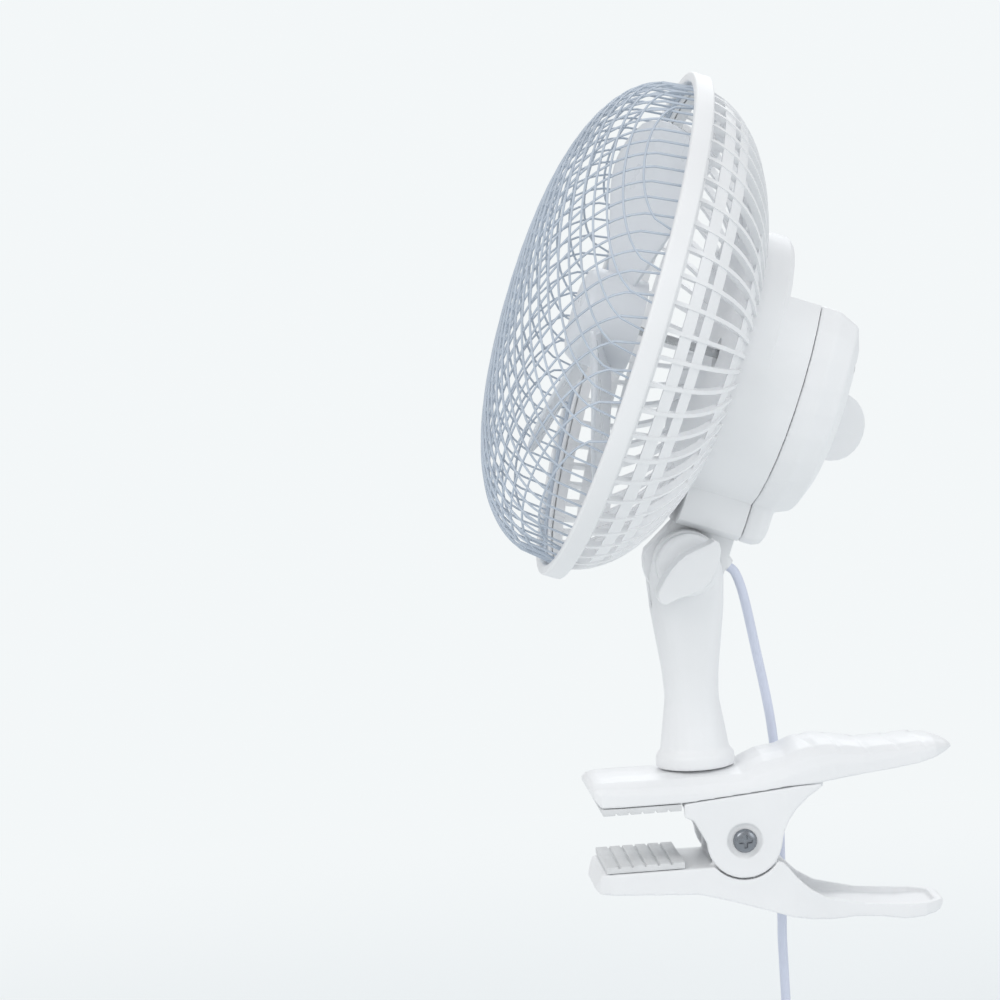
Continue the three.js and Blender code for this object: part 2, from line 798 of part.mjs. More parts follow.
// A cross-recess screw whose head sits at the back of its seat.
function coverScrew(place) {
  const headFront = screwHeadY(place) - screwHeadHeight + touchGap;
  const headBack = headFront + screwHeadHeight - touchGap;
  const shankFront = seamPlane - 10;
  const profile = [
    P(0, shankFront),
    P(screwRadius * 0.6, shankFront),
    P(screwRadius, shankFront + 1.5),
    P(screwRadius, headFront),
    P(screwHeadRadius, headFront),
    P(screwHeadRadius, headBack - 0.6),
    P(screwHeadRadius * 0.7, headBack),
    P(0, headBack),
  ];
  const body = turnedY(profile, 12).translate(place.x, 0, place.y);
  return cutBy(body, ...crossRecess(place.x, headBack, place.y, screwHeadRadius));
}

// Two crossed bars that cut the recess of a screw head seen from +Y.
function crossRecess(x, y, z, radius) {
  const [long, thin, deep] = [radius * 0.6, radius * 0.16, radius * 0.35];
  return [
    box(x - long, x + long, y - deep, y + 1, z - thin, z + thin),
    box(x - thin, x + thin, y - deep, y + 1, z - long, z + long),
  ];
}

// ---------------------------------------------------------------- switch
const switchBack = housingBack - housingWall - touchGap;

function rotarySwitch() {
  const half = switchWidth / 2;
  const [low, high] = [-switchDrop - switchHeight / 2, -switchDrop + switchHeight / 2];
  const block = box(-half, half, switchBack - switchDepth, switchBack, low, high);
  const spindleEnd = housingBack + touchGap + knobBase + knobReach / 3;
  const spindle = rodY(spindleRadius, switchBack - 1, spindleEnd, 0, -switchDrop, 14);
  return joined(block, spindle);
}

function switchKnob() {
  const base = housingBack + touchGap;
  const plate = rodY(knobRadius, base, base + knobBase, 0, -switchDrop, 24);
  const fin = alongX(
    Array.from({ length: 13 }, (_, i) => {
      const turn = -Math.PI / 2 + (Math.PI * i) / 12;
      const out = base + 1 + (knobReach - 1) * Math.cos(turn) ** 0.8;
      return P(out, -switchDrop + (knobRadius - 0.2) * Math.sin(turn));
    }),
    -knobFin / 2,
    knobFin / 2,
  );
  const deep = knobBase + knobReach / 3 + touchGap;
  const bore = rodY(spindleRadius + touchGap, base - 1, base + deep, 0, -switchDrop, 14);
  return cutBy(joined(plate, fin), bore);
}

// ---------------------------------------------------------------- post and tilt joint
const collarBottom = coverTop + touchGap;
const collarTop = collarBottom + collarHeight;
const slotHalf = tongueWidth / 2 + touchGap;

function ovalRing(halfX, halfY, z, power) {
  const count = 20;
  const shaped = (v) => Math.sign(v) * Math.abs(v) ** (2 / power);
  return Array.from({ length: count }, (_, i) => {
    const turn = (2 * Math.PI * i) / count;
    const x = halfX * shaped(Math.cos(turn));
    return new THREE.Vector3(x, pivotY + halfY * shaped(Math.sin(turn)), z);
  });
}

function post() {
  const half = postWidth / 2;
  const rise = pivotZ - collarTop;
  const at = (share) => collarTop + rise * share;
  const stem = loft([
    ovalRing(collarRadius - 1.6, collarRadius - 1.6, collarTop - 1, 2),
    ovalRing(collarRadius - 2.2, collarRadius - 2, at(0.04), 2),
    ovalRing(half - 0.6, collarRadius - 3, at(0.14), 2.2),
    ovalRing(half - 1.4, collarRadius - 4.5, at(0.28), 2.6),
    ovalRing(half - 1.2, collarRadius - 4.1, at(0.42), 3),
    ovalRing(half - 0.6, collarRadius - 2.8, at(0.57), 3.5),
    ovalRing(half - 0.2, stemHalf - 0.6, at(0.76), 4),
    ovalRing(half, stemHalf, at(0.92), 4.5),
    ovalRing(half, (earRadius + stemHalf) / 2, pivotZ, 4.5),
  ]);
  const eye = rodX(earRadius, -half, half, pivotY, pivotZ, 24);
  const collar = turnedZ(
    [
      P(0, collarBottom),
      P(collarRadius - 0.4, collarBottom),
      P(collarRadius, collarBottom + 0.5),
      P(collarRadius, collarTop - 1.4),
      P(collarRadius - 1.2, collarTop),
      P(0, collarTop),
    ],
    28,
  ).translate(0, pivotY, 0);
  const spigot = rodZ(spigotRadius, spigotEnd, collarBottom + 1, 0, pivotY, 18);
  const slotFloor = pivotZ - tongueRadius - runGap;
  const slot = box(-slotHalf, slotHalf, pivotY - 30, pivotY + 30, slotFloor, pivotZ + 30);
  const glandSweep = common(
    rodX(glandReach + runGap, -slotHalf, slotHalf, pivotY, pivotZ, 32),
    box(-slotHalf, slotHalf, pivotY + 2, pivotY + 30, pivotZ - 30, pivotZ + 30),
  );
  const boltHole = rodX(boltRadius + touchGap, -half - 1, half + 1, pivotY, pivotZ, 16);
  const recess = rodX(boltHeadRadius + touchGap, -half - 1, -half + boltHeadHeight, pivotY, pivotZ, 6);
  const screwHole = rodZ(
    swivelShankRadius + touchGap,
    spigotEnd - 1,
    spigotEnd + swivelShankLength + 1,
    0,
    pivotY,
    12,
  );
  return cutBy(joined(stem, eye, collar, spigot), slot, glandSweep, boltHole, recess, screwHole);
}

function tiltBolt() {
  const half = postWidth / 2;
  const headInner = -half + boltHeadHeight - touchGap;
  const headBlock = rodX(boltHeadRadius, -half, headInner, 0, 0, 6);
  const shank = rodX(boltRadius, headInner - 0.5, half + wingBase + wingReach / 2, 0, 0, 18);
  return joined(headBlock, shank).translate(0, pivotY, pivotZ);
}

// The wing knob: a round foot with an S-shaped bar across it.
function wingKnob() {
  const face = postWidth / 2 + touchGap;
  const foot = turnedX(
    [
      P(0, face),
      P(wingRadius, face),
      P(wingRadius, face + wingBase - 1),
      P(wingRadius - 1.2, face + wingBase),
      P(0, face + wingBase),
    ],
    22,
  );
  const half = wingLength / 2;
  const bend = (s) => 2.2 * Math.sin(Math.PI * s);
  const upper = [];
  const lower = [];
  for (let i = 0; i <= 10; i++) {
    const s = i / 5 - 1;
    const thick = (wingBar / 2) * (1 - Math.abs(s) ** 5) ** 0.5;
    lower.push(P(half * s, bend(s) - thick));
    if (thick > 0) upper.push(P(half * s, bend(s) + thick));
  }
  const bar = alongX([...lower, ...upper.reverse()], face + wingBase - 0.3, face + wingBase + wingReach);
  const bore = rodX(boltRadius + touchGap, face - 1, face + wingBase + wingReach / 2 + touchGap, 0, 0, 18);
  return cutBy(joined(foot, bar.rotateX(wingAngle)), bore).translate(0, pivotY, pivotZ);
}

// ---------------------------------------------------------------- swivel under the cover
const spigotEnd = coverTop - leverWall - runGap;
const washerTop = spigotEnd - touchGap;

const swivelWasher = () =>
  turnedZ(
    sleeve(swivelShankRadius + touchGap, washerRadius, washerTop - washerThickness, washerTop),
    18,
  ).translate(0, pivotY, 0);

function swivelScrew() {
  const headTop = washerTop - washerThickness - touchGap;
  const profile = [
    P(0, headTop - swivelHeadHeight),
    P(swivelHeadRadius - 0.6, headTop - swivelHeadHeight),
    P(swivelHeadRadius, headTop - 1),
    P(swivelHeadRadius, headTop),
    P(swivelShankRadius, headTop),
    P(swivelShankRadius, spigotEnd + swivelShankLength),
    P(0, spigotEnd + swivelShankLength),
  ];
  return turnedZ(profile, 16).translate(0, pivotY, 0);
}

// ---------------------------------------------------------------- clamp
const coverBottom = padThickness + touchGap;
const seamRise = 3.2; // how much higher the cover's edge lies behind the cheeks than at the mouth
const seamEndY = 51.4;
const seamZ = (y) => {
  const share = Math.min(Math.max((y - mouthBackY) / (seamEndY - mouthBackY), 0), 1);
  return coverBottom + seamRise * share;
};

// The levers seen from above: blunt nose, straight jaw, narrower handle with a round end.
function leverPlan(inset, endY) {
  const jaw = jawHalfWidth - inset;
  const handle = handleHalfWidth - inset;
  const nose = noseY + inset;
  const end = endY - inset;
  const side = [
    P(jaw - 7, nose),
    P(jaw - 2.5, nose + 1.5),
    P(jaw - 0.6, nose + 5),
    P(jaw, nose + 10),
    P(jaw, handleEndY - 60.5),
    P(jaw - 0.8, handleEndY - 55.5),
    P(handle + 1.4, handleEndY - 49),
    P(handle + 0.6, handleEndY - 43),
    P(handle, handleEndY - 32.5),
    P(handle, end - 14),
    ...arc(handle - 13, end - 13, 13, 0, Math.PI / 2, 4).slice(1),
  ];
  return [...side, ...side.map((p) => P(-p.x, p.y)).reverse()];
}

// The cover's stations from the nose to the handle's end: how far along, half width, and the heights
// of the middle of the top, of the side wall's upper edge and of its lower edge.
const coverStations = [
  [noseY, jawHalfWidth - 7, coverTop - 2, coverTop - 3, coverTop - 4],
  [noseY + 1.5, jawHalfWidth - 2.5, coverTop - 0.8, coverTop - 3.8, coverTop - 6.6],
  [noseY + 3.8, jawHalfWidth - 1, coverTop - 0.2, coverTop - 4.4, coverBottom],
  [noseY + 10, jawHalfWidth, coverTop, coverTop - 5, coverBottom],
  [mouthBackY, jawHalfWidth, coverTop, coverTop - 6.4, seamZ(mouthBackY)],
  [pivotY + collarRadius, jawHalfWidth, coverTop, coverTop - 6, seamZ(pivotY + collarRadius)],
  [handleEndY - 72, jawHalfWidth, coverTop + 2.4, coverTop - 5.5, seamZ(handleEndY - 72)],
  [handleEndY - 68, jawHalfWidth, coverTop + 4.2, coverTop - 4.8, seamZ(handleEndY - 68)],
  [handleEndY - 60.5, jawHalfWidth, coverTop + 5.2, coverTop - 3, seamZ(seamEndY)],
  [handleEndY - 55.5, jawHalfWidth - 0.8, coverTop + 7.4, coverTop - 2, seamZ(seamEndY)],
  [handleEndY - 49, handleHalfWidth + 1.4, coverTop + 8.4, coverTop - 0.6, seamZ(seamEndY)],
  [handleEndY - 43, handleHalfWidth + 0.6, coverTop + 7.8, coverTop + 0.2, coverTop - 5.5],
  [handleEndY - 32.5, handleHalfWidth, coverTop + 5.8, coverTop - 0.4, coverTop - 4.3],
  [handleEndY - 21.5, handleHalfWidth, coverTop + 5.8, coverTop + 1, coverTop - 3.2],
  [handleEndY - 13, handleHalfWidth, coverTop + 5.9, coverTop + 2.2, coverTop - 2],
  [handleEndY - 7, handleHalfWidth - 2.4, coverTop + 5.2, coverTop + 2.6, coverTop - 0.8],
  [handleEndY - 2.5, handleHalfWidth - 7, coverTop + 3.6, coverTop + 2.2, coverTop + 0.4],
  [handleEndY, handleHalfWidth - 12, coverTop + 2.2, coverTop + 1.4, coverTop + 0.8],
];

// The cover's cross-section at a station: upright side walls and a top that falls off to both sides.
function coverRing([y, half, top, side, low], inset) {
  const wide = half - inset;
  const edge = side - inset / 2;
  const crown = top - inset - edge;
  const foot = inset > 0 ? low - 3 : low;
  const right = [
    new THREE.Vector3(wide, y, foot),
    new THREE.Vector3(wide, y, edge),
    new THREE.Vector3(wide * 0.93, y, edge + crown * 0.45),
    new THREE.Vector3(wide * 0.76, y, edge + crown * 0.8),
    new THREE.Vector3(wide * 0.42, y, edge + crown * 0.97),
  ];
  const left = right.map((p) => new THREE.Vector3(-p.x, p.y, p.z)).reverse();
  return [...right, new THREE.Vector3(0, y, edge + crown), ...left];
}

function upperCover() {
  const outside = loft(coverStations.map((station) => coverRing(station, 0)));
  const within = coverStations.slice(2, -2);
  within[0] = [noseY + 3.8 + leverWall, ...coverStations[2].slice(1)];
  const inside = loft(within.map((station) => coverRing(station, leverWall)));
  const spigotHole = rodZ(spigotRadius + touchGap, 0, coverTop + 2, 0, pivotY, 18);
  const seat = rodZ(collarRadius + 1, coverTop, coverTop + 9, 0, pivotY, 28);
  return cutBy(outside, inside, spigotHole, seat);
}

const bodyEndY = 62;
const plugHalf = jawHalfWidth - leverWall - touchGap;
const cheekInner = jawHalfWidth - cheekThickness;

// The clamp body: a floor that plugs the cover, and two cheeks that carry the pivot screw.
function clipBody() {
  const under = (y) => seamZ(y) - touchGap;
  const floorOutline = [
    P(noseY + leverWall + 5.5, coverBottom),
    P(mouthBackY, under(mouthBackY) - 2),
    P(seamEndY, under(seamEndY) - 2),
    P(bodyEndY, under(bodyEndY) - 1.6),
    P(bodyEndY, seamZ(bodyEndY) + 1.5),
    P(seamEndY, seamZ(seamEndY) + 1.2),
    P(mouthBackY, coverBottom + 1.4),
    P(noseY + leverWall + 5.5, coverBottom + 1.4),
  ];
  floorOutline.splice(1, 0, P(mouthBackY, coverBottom));
  const floor = common(
    alongX(floorOutline, -plugHalf, plugHalf),
    alongZ(leverPlan(leverWall + 2 * touchGap, bodyEndY + 20), -30, 30),
  );
  const cheekOutline = [
    P(mouthBackY, under(mouthBackY)),
    P(mouthBackY, -2.5),
    P(mouthBackY + 3, -4),
    ...arc(clampPivotY, clampPivotZ, cheekRadius, Math.PI, 2 * Math.PI - 16 * rad, 14),
    P(46.7, -10.6),
    P(48.6, -6.4),
    P(51.6, -2.5),
    P(56.2, 1.4),
    P(bodyEndY - 1, 4.1),
    P(bodyEndY - 1, under(bodyEndY - 1)),
    P(seamEndY, under(seamEndY)),
  ];
  const cheeks = [-1, 1].map((side) => {
    const faces = [side * cheekInner, side * jawHalfWidth].sort((a, b) => a - b);
    return alongX(cheekOutline, ...faces);
  });
  const holes = rodX(clampScrewRadius + touchGap, -30, 30, clampPivotY, clampPivotZ, 16);
  const recess = rodX(clampRecessRadius, jawHalfWidth - clampRecessDepth, 30, clampPivotY, clampPivotZ, 20);
  const plan = alongZ(leverPlan(0, handleEndY), -40, 30);
  const nutSeat = rodX(nutRadius + touchGap, -30, -jawHalfWidth + 1.2, clampPivotY, clampPivotZ, 6);
  return cutBy(common(joined(floor, ...cheeks), plan), holes, recess, nutSeat);
}

const padStart = mouthBackY - 0.9 - padLength;
const padSlant = 0.9; // how far the pad's front leans out with the nose

function upperPad() {
  const outline = [
    P(padStart, 0),
    P(padStart + padLength, 0),
    P(padStart + padLength, padThickness),
    P(padStart - padSlant, padThickness),
  ];
  const plate = alongX(outline, -padHalfWidth, padHalfWidth);
  return cutBy(plate, ...padGrooves(-1, 0.7));
}

// Shallow grooves across a pad's gripping face.
function padGrooves(z0, z1) {
  const count = 6;
  const pitch = padLength / count;
  return Array.from({ length: count - 1 }, (_, i) => {
    const y = padStart + pitch * (i + 1);
    const inside = Math.abs(y) > 1;
    return box(-padHalfWidth - 1, padHalfWidth + 1, y - 0.4, y + 0.4, z0, inside ? z1 : z0 + 0.1);
  });
}

const lowerPadTop = -clampedBoard;
const lowerJawTop = lowerPadTop - padThickness - touchGap;

function lowerPad() {
  const low = lowerPadTop - padThickness;
  const plate = box(-padHalfWidth, padHalfWidth, padStart, padStart + padLength, low, lowerPadTop);
  return cutBy(plate, ...padGrooves(lowerPadTop - 0.7, lowerPadTop + 1));
}

// The lower lever: full width outside the cheeks' round ends, with a knuckle between the cheeks.
function lowerLever() {
  const clear = cheekRadius + runGap;
  const rim = [
    P(46.2, -21),
    P(50.8, -26.9),
    P(55.4, -31.4),
    P(61, -34.8),
    P(75.5, -38.3),
    P(89.6, -39.6),
  ];
  const jawDrop = coverTop - coverBottom;
  const bottom = [
    P(lowerHandleEndY - 1, -39.9),
    P(lowerHandleEndY, -41.2),
    P(lowerHandleEndY - 2.5, -43.8),
    P(95.2, -44.6),
    P(88.5, -44.8),
    P(80, -43.3),
    P(71, -42.5),
    P(62.5, -42.8),
    P(55, -42),
    P(48, -40.4),
    P(40, -37.6),
    P(28, -33.5),
    P(16, lowerJawTop - jawDrop),
    P(0, lowerJawTop - jawDrop + 1),
    P(noseY + 2, lowerJawTop - jawDrop + 2.2),
    P(noseY, lowerJawTop - 6),
    P(noseY + 2.5, lowerJawTop),
  ];
  const backTurn = Math.asin((lowerJawTop - clampPivotZ) / clear);
  const saddle = arc(clampPivotY, clampPivotZ, clear, -Math.PI - backTurn, -36 * rad, 10);
  const outline = [...saddle, ...rim, ...bottom];
  const wide = jawHalfWidth + 1;
  const lever = common(
    alongX(outline, -wide, wide),
    alongZ(leverPlan(0, lowerHandleEndY), -60, 0),
  );
  const scoopFloor = [
    P(35, -10),
    P(35, -33),
    P(48, -37.4),
    P(56, -39),
    P(71, -39.8),
    P(88, -41.9),
    P(lowerHandleEndY - 4, -41.2),
    P(lowerHandleEndY - 4, -10),
  ];
  const scoop = common(
    alongX(scoopFloor, -wide, wide),
    alongZ(leverPlan(leverWall, lowerHandleEndY), -60, 0),
  );
  const pocketTop = lowerJawTop - 2.4;
  const pocket = common(
    alongX([P(-16, -60), P(28, -60), P(28, -30), P(14, pocketTop), P(-16, pocketTop)], -wide, wide),
    alongZ(leverPlan(leverWall, lowerHandleEndY), -70, 0),
  );
  const plates = [-1, 1].map((side) => {
    const outer = cheekInner - runGap;
    const faces = [side * (outer - cheekThickness), side * outer].sort((a, b) => a - b);
    const round = [
      ...arc(clampPivotY, clampPivotZ, knuckleRadius, -10 * rad, 190 * rad, 16),
      P(clampPivotY - knuckleRadius - 1, -28),
      P(clampPivotY + knuckleRadius + 1, -30),
    ];
    return alongX(round, ...faces);
  });
  const hole = rodX(clampScrewRadius + touchGap, -30, 30, clampPivotY, clampPivotZ, 16);
  return cutBy(joined(cutBy(lever, scoop, pocket), ...plates), hole);
}

function clampScrew() {
  const seat = jawHalfWidth - clampRecessDepth + touchGap;
  const profile = [
    P(0, -jawHalfWidth + 0.4),
    P(clampScrewRadius, -jawHalfWidth + 0.4),
    P(clampScrewRadius, seat),
    P(clampHeadRadius, seat),
    P(clampHeadRadius, seat + 1),
    P(clampHeadRadius * 0.86, seat + clampHeadHeight * 0.75),
    P(clampHeadRadius * 0.5, seat + clampHeadHeight),
    P(0, seat + clampHeadHeight),
  ];
  const body = turnedX(profile, 18);
  const [long, thin] = [clampHeadRadius * 0.55, clampHeadRadius * 0.14];
  const [deep, top] = [seat + clampHeadHeight - 1.4, seat + clampHeadHeight + 1];
  const cross = [
    box(deep, top, -long, long, -thin, thin),
    box(deep, top, -thin, thin, -long, long),
  ];
  return cutBy(body, ...cross).translate(0, clampPivotY, clampPivotZ);
}

function clampNut() {
  const inner = -jawHalfWidth + 1.2 - touchGap;
  const block = rodX(nutRadius, inner - nutHeight, inner, 0, 0, 6);
  const bore = rodX(clampScrewRadius + touchGap, inner - nutHeight - 1, inner + 1, 0, 0, 16);
  return cutBy(block, bore).translate(0, clampPivotY, clampPivotZ);
}

// The clamp's torsion spring: close turns round the pivot screw and a leg along each lever.
class SpringLine extends THREE.Curve {
  getPoint(t) {
    const firstTurn = Math.PI / 2 + springUpperAngle;
    const lastTurn = 1.5 * Math.PI - springLowerAngle + 2 * Math.PI * springTurns;
    const wound = springRadius * (lastTurn - firstTurn);
    const whole = springUpperLeg + wound + springLowerLeg;
    const half = (springPitch * springTurns) / 2;
    const s = t * whole;
    const on = (turn, x) =>
      new THREE.Vector3(
        x,
        clampPivotY + springRadius * Math.cos(turn),
        clampPivotZ + springRadius * Math.sin(turn),
      );
    const ahead = (turn) => new THREE.Vector3(0, -Math.sin(turn), Math.cos(turn));
    if (s < springUpperLeg) {
      return on(firstTurn, -half).addScaledVector(ahead(firstTurn), s - springUpperLeg);
    }
    if (s > springUpperLeg + wound) {
      return on(lastTurn, half).addScaledVector(ahead(lastTurn), s - springUpperLeg - wound);
    }
    const share = (s - springUpperLeg) / wound;
    return on(firstTurn + (lastTurn - firstTurn) * share, -half + 2 * half * share);
  }
}
const clipSpring = () => tube(new SpringLine(), springWire / 2, 5, 54);

// ---------------------------------------------------------------- cord, coil and plug
// The gland's tip in the clamp's frame, where the cord leaves it.
function glandTip() {
  const out = glandLength + touchGap;
  const tip = new THREE.Vector3(
    0,
    glandPlace.x + out * Math.cos(glandTurn) - pivotBehindRing,
    glandPlace.y - out * Math.sin(glandTurn) + pivotBelowRing,
  );
  tip.applyAxisAngle(new THREE.Vector3(1, 0, 0), -headTilt);
  return tip.add(new THREE.Vector3(0, pivotY, pivotZ));
}

function cordGland() {
  const profile = [
    P(0, touchGap),
    P(glandRadius, touchGap),
    P(glandRadius, glandLength * 0.35),
    P(glandTipRadius, glandLength),
    P(0, glandLength),
  ];
  return placeGland(turnedZ(profile, 16));
}

const coilX = -24;
const coilTopGap = 6; // between the straight run's lower end and the coil
const cordRunY = 49.8;
const coilCentreZ = -111;
const cordStep = cordDiameter + coilSpacing;
const coilOutside = coilRadius + cordDiameter / 2;
const plugInside = coilRadius - plugNeckRadius - touchGap;
const coilTail = Math.sqrt(coilOutside ** 2 - plugInside ** 2) + touchGap; // the plug hangs clear of the turns

// The route that the cord takes from the gland, past the clamp's far side, to the coil.
function cordRoute() {
  const tip = glandTip();
  const start = new THREE.Vector3(0, Math.cos(glandTurn + headTilt), -Math.sin(glandTurn + headTilt));
  return [
    tip,
    tip.clone().addScaledVector(start, 3),
    new THREE.Vector3(-1.5, 39.3, 74),
    new THREE.Vector3(-4, 41.1, 66.5),
    new THREE.Vector3(-7.5, 42.8, 58.5),
    new THREE.Vector3(-11, 44.6, 49.5),
    new THREE.Vector3(-15, 46.6, 40),
    new THREE.Vector3(-18.6, 48.5, 30),
    new THREE.Vector3(-21.6, 49.9, 21),
    new THREE.Vector3(-23.4, 50.9, 10),
    new THREE.Vector3(coilX, 51.3, -4),
    new THREE.Vector3(coilX, 51.1, -18),
    new THREE.Vector3(coilX, 50.6, -34),
    new THREE.Vector3(coilX, cordRunY + 0.3, -50),
    new THREE.Vector3(coilX, cordRunY, -58),
    new THREE.Vector3(coilX, cordRunY, -74),
    new THREE.Vector3(coilX, cordRunY, -90),
    new THREE.Vector3(coilX, cordRunY, coilCentreZ + coilTopGap),
  ];
}
const cord = () => tube(new THREE.CatmullRomCurve3(cordRoute()), cordDiameter / 2, 8, 30);

// The coil: in towards the middle in one layer and out again in the next, from a straight lead
// above to a straight tail below.
const turnsPerLayer = coilTurns / coilLayers;
const coilRight = coilX + (coilLayers - 1) * cordStep;

class CoilLine extends THREE.Curve {
  getPoint(t) {
    const lead = coilTopGap - touchGap;
    const round = 2 * Math.PI * (coilRadius - (turnsPerLayer * cordStep) / 2) * coilTurns;
    const whole = lead + round + coilTail;
    const s = t * whole;
    const [left, right] = [coilX, coilRight];
    if (s < lead) return new THREE.Vector3(left, cordRunY, coilCentreZ + lead - s);
    if (s > lead + round) return new THREE.Vector3(right, cordRunY, coilCentreZ - (s - lead - round));
    const turn = (coilTurns * (s - lead)) / round;
    const layer = turn / turnsPerLayer;
    const inward = Math.abs(layer - 2 * Math.round(layer / 2)); // 0 at the outside, 1 at the inside
    const radius = coilRadius - cordStep * turnsPerLayer * inward;
    const climbs = Math.round(layer); // the nearest reversal
    const share = Math.min(Math.max((turn - climbs * turnsPerLayer) * 2 + 0.5, 0), 1);
    const rising = climbs > 0 && climbs < coilLayers ? 0.5 - 0.5 * Math.cos(Math.PI * share) : 1;
    const below = climbs === coilLayers ? coilLayers - 2 : Math.max(climbs - 1, -1);
    const x = left + cordStep * (below + rising);
    const angle = -2 * Math.PI * turn;
    return new THREE.Vector3(
      x,
      cordRunY - coilRadius + radius * Math.cos(angle),
      coilCentreZ + radius * Math.sin(angle),
    );
  }
}

// The least gap from the coil's tube to itself, measured on points along it.
function leastCoilGap() {
  const line = new CoilLine();
  const points = line.getSpacedPoints(coilTurns * 72);
  const step = points[0].distanceTo(points[1]);
  const apart = Math.ceil((6 * cordDiameter) / step);
  let least = Infinity;
  for (let i = 0; i < points.length; i++) {
    for (let j = i + apart; j < points.length; j++) {
      least = Math.min(least, points[i].distanceTo(points[j]) - cordDiameter);
    }
  }
  return least;
}

const cordCoil = () => tube(new CoilLine(), cordDiameter / 2, 6, coilTurns * 18 + 4);

// A strap round all the turns on the coil's far side from the cord's entry.
function cordTie() {
  const turns = Math.ceil(turnsPerLayer);
  const far = cordRunY - 2 * coilRadius;
  const slack = 0.8;
  const y0 = far - cordDiameter / 2 - slack;
  const y1 = far + turns * cordStep + cordDiameter / 2 + slack;
  const x0 = coilX - cordDiameter / 2 - slack;
  const x1 = coilRight + cordDiameter / 2 + slack;
  const t = tieThickness;
  const [z0, z1] = [coilCentreZ - tieWidth / 2, coilCentreZ + tieWidth / 2];
  return cutBy(box(x0 - t, x1 + t, y0 - t, y1 + t, z0, z1), box(x0, x1, y0, y1, z0 - 1, z1 + 1));
}

const plugX = coilRight;
const plugTop = coilCentreZ - coilTail - touchGap;

function plugBody() {
  const section = (halfX, halfY, z) =>
    ovalRing(halfX, halfY, z, 3).map((p) => new THREE.Vector3(p.x + plugX, p.y - pivotY + cordRunY, p.z));
  return loft([
    section(plugNeckRadius, plugNeckRadius, plugTop),
    section(plugNeckRadius, plugNeckRadius, plugTop - plugLength * 0.25),
    section(plugWidth * 0.32, plugDepth / 2, plugTop - plugLength * 0.5),
    section(plugWidth / 2, plugDepth / 2, plugTop - plugLength * 0.8),
    section(plugWidth / 2, plugDepth / 2, plugTop - plugLength),
  ].reverse());
}

function plugPin(side) {
  const top = plugTop - plugLength - touchGap;
  const profile = [
    P(0, top - pinLength),
    P(pinRadius - 0.7, top - pinLength),
    P(pinRadius, top - pinLength + 1),
    P(pinRadius, top),
    P(0, top),
  ];
  return turnedZ(profile, 12).translate(plugX + (side * pinSpacing) / 2, cordRunY, 0);
}

// ---------------------------------------------------------------- assembly
piece(head, 'front_net', frontNet(), coatedWire);
piece(head, 'guard_ring', guardRing(), whitePlastic);
piece(head, 'rear_grille', rearGrille(), whitePlastic);
piece(head, 'fan_blades', fanBlades(), paleBlades);
piece(head, 'motor_shaft', motorShaft(), steel);
piece(head, 'rotor', rotor(), laminations);
piece(head, 'stator', stator(), laminations);
piece(head, 'motor_coil', motorCoil(), copper);
piece(head, 'front_bearing_bracket', frontBracket(), castZinc);
piece(head, 'rear_bearing_bracket', rearBracket(), castZinc);
piece(head, 'housing_front', housingFrontShell(), whitePlastic);
piece(head, 'housing_rear_cover', housingRearCover(), whitePlastic);
screwPlaces.forEach((place, i) => piece(head, `cover_screw_${i + 1}`, coverScrew(place), steel));
piece(head, 'rotary_switch', rotarySwitch(), switchPlastic);
piece(head, 'switch_knob', switchKnob(), whitePlastic);
piece(head, 'cord_gland', cordGland(), cordSheath);
piece(model, 'post', post(), whitePlastic);
piece(model, 'tilt_bolt', tiltBolt(), steel);
piece(model, 'wing_knob', wingKnob(), whitePlastic);
piece(model, 'swivel_washer', swivelWasher(), steel);
piece(model, 'swivel_screw', swivelScrew(), steel);
piece(model, 'upper_cover', upperCover(), whitePlastic);
piece(model, 'clip_body', clipBody(), whitePlastic);
piece(model, 'upper_pad', upperPad(), softPad);
piece(model, 'lower_lever', lowerLever(), whitePlastic);
piece(model, 'lower_pad', lowerPad(), softPad);
piece(model, 'clamp_screw', clampScrew(), steel);
piece(model, 'clamp_nut', clampNut(), steel);
piece(model, 'clip_spring', clipSpring(), steel);
piece(model, 'cord', cord(), cordSheath);
piece(model, 'cord_coil', cordCoil(), cordSheath);
piece(model, 'cord_tie', cordTie(), tieWire);
piece(model, 'plug_body', plugBody(), cordSheath);
piece(model, 'plug_pin_1', plugPin(-1), brass);
piece(model, 'plug_pin_2', plugPin(1), brass);

console.log(`least gap from the coil to itself: ${leastCoilGap().toFixed(2)} mm`);

export default model;
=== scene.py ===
"""The looks of a small clip-on desk fan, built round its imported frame.

Every piece sits in the frame's own coordinates: metres, +Z up, the fan blowing towards -Y, and
the origin at the middle of the upper jaw's pad. The guard and the blades are modelled about the
fan's own axis, with +Y backwards, and put on the tilted head by one matrix.
"""

import math

import bpy
from mathutils import Matrix, Vector


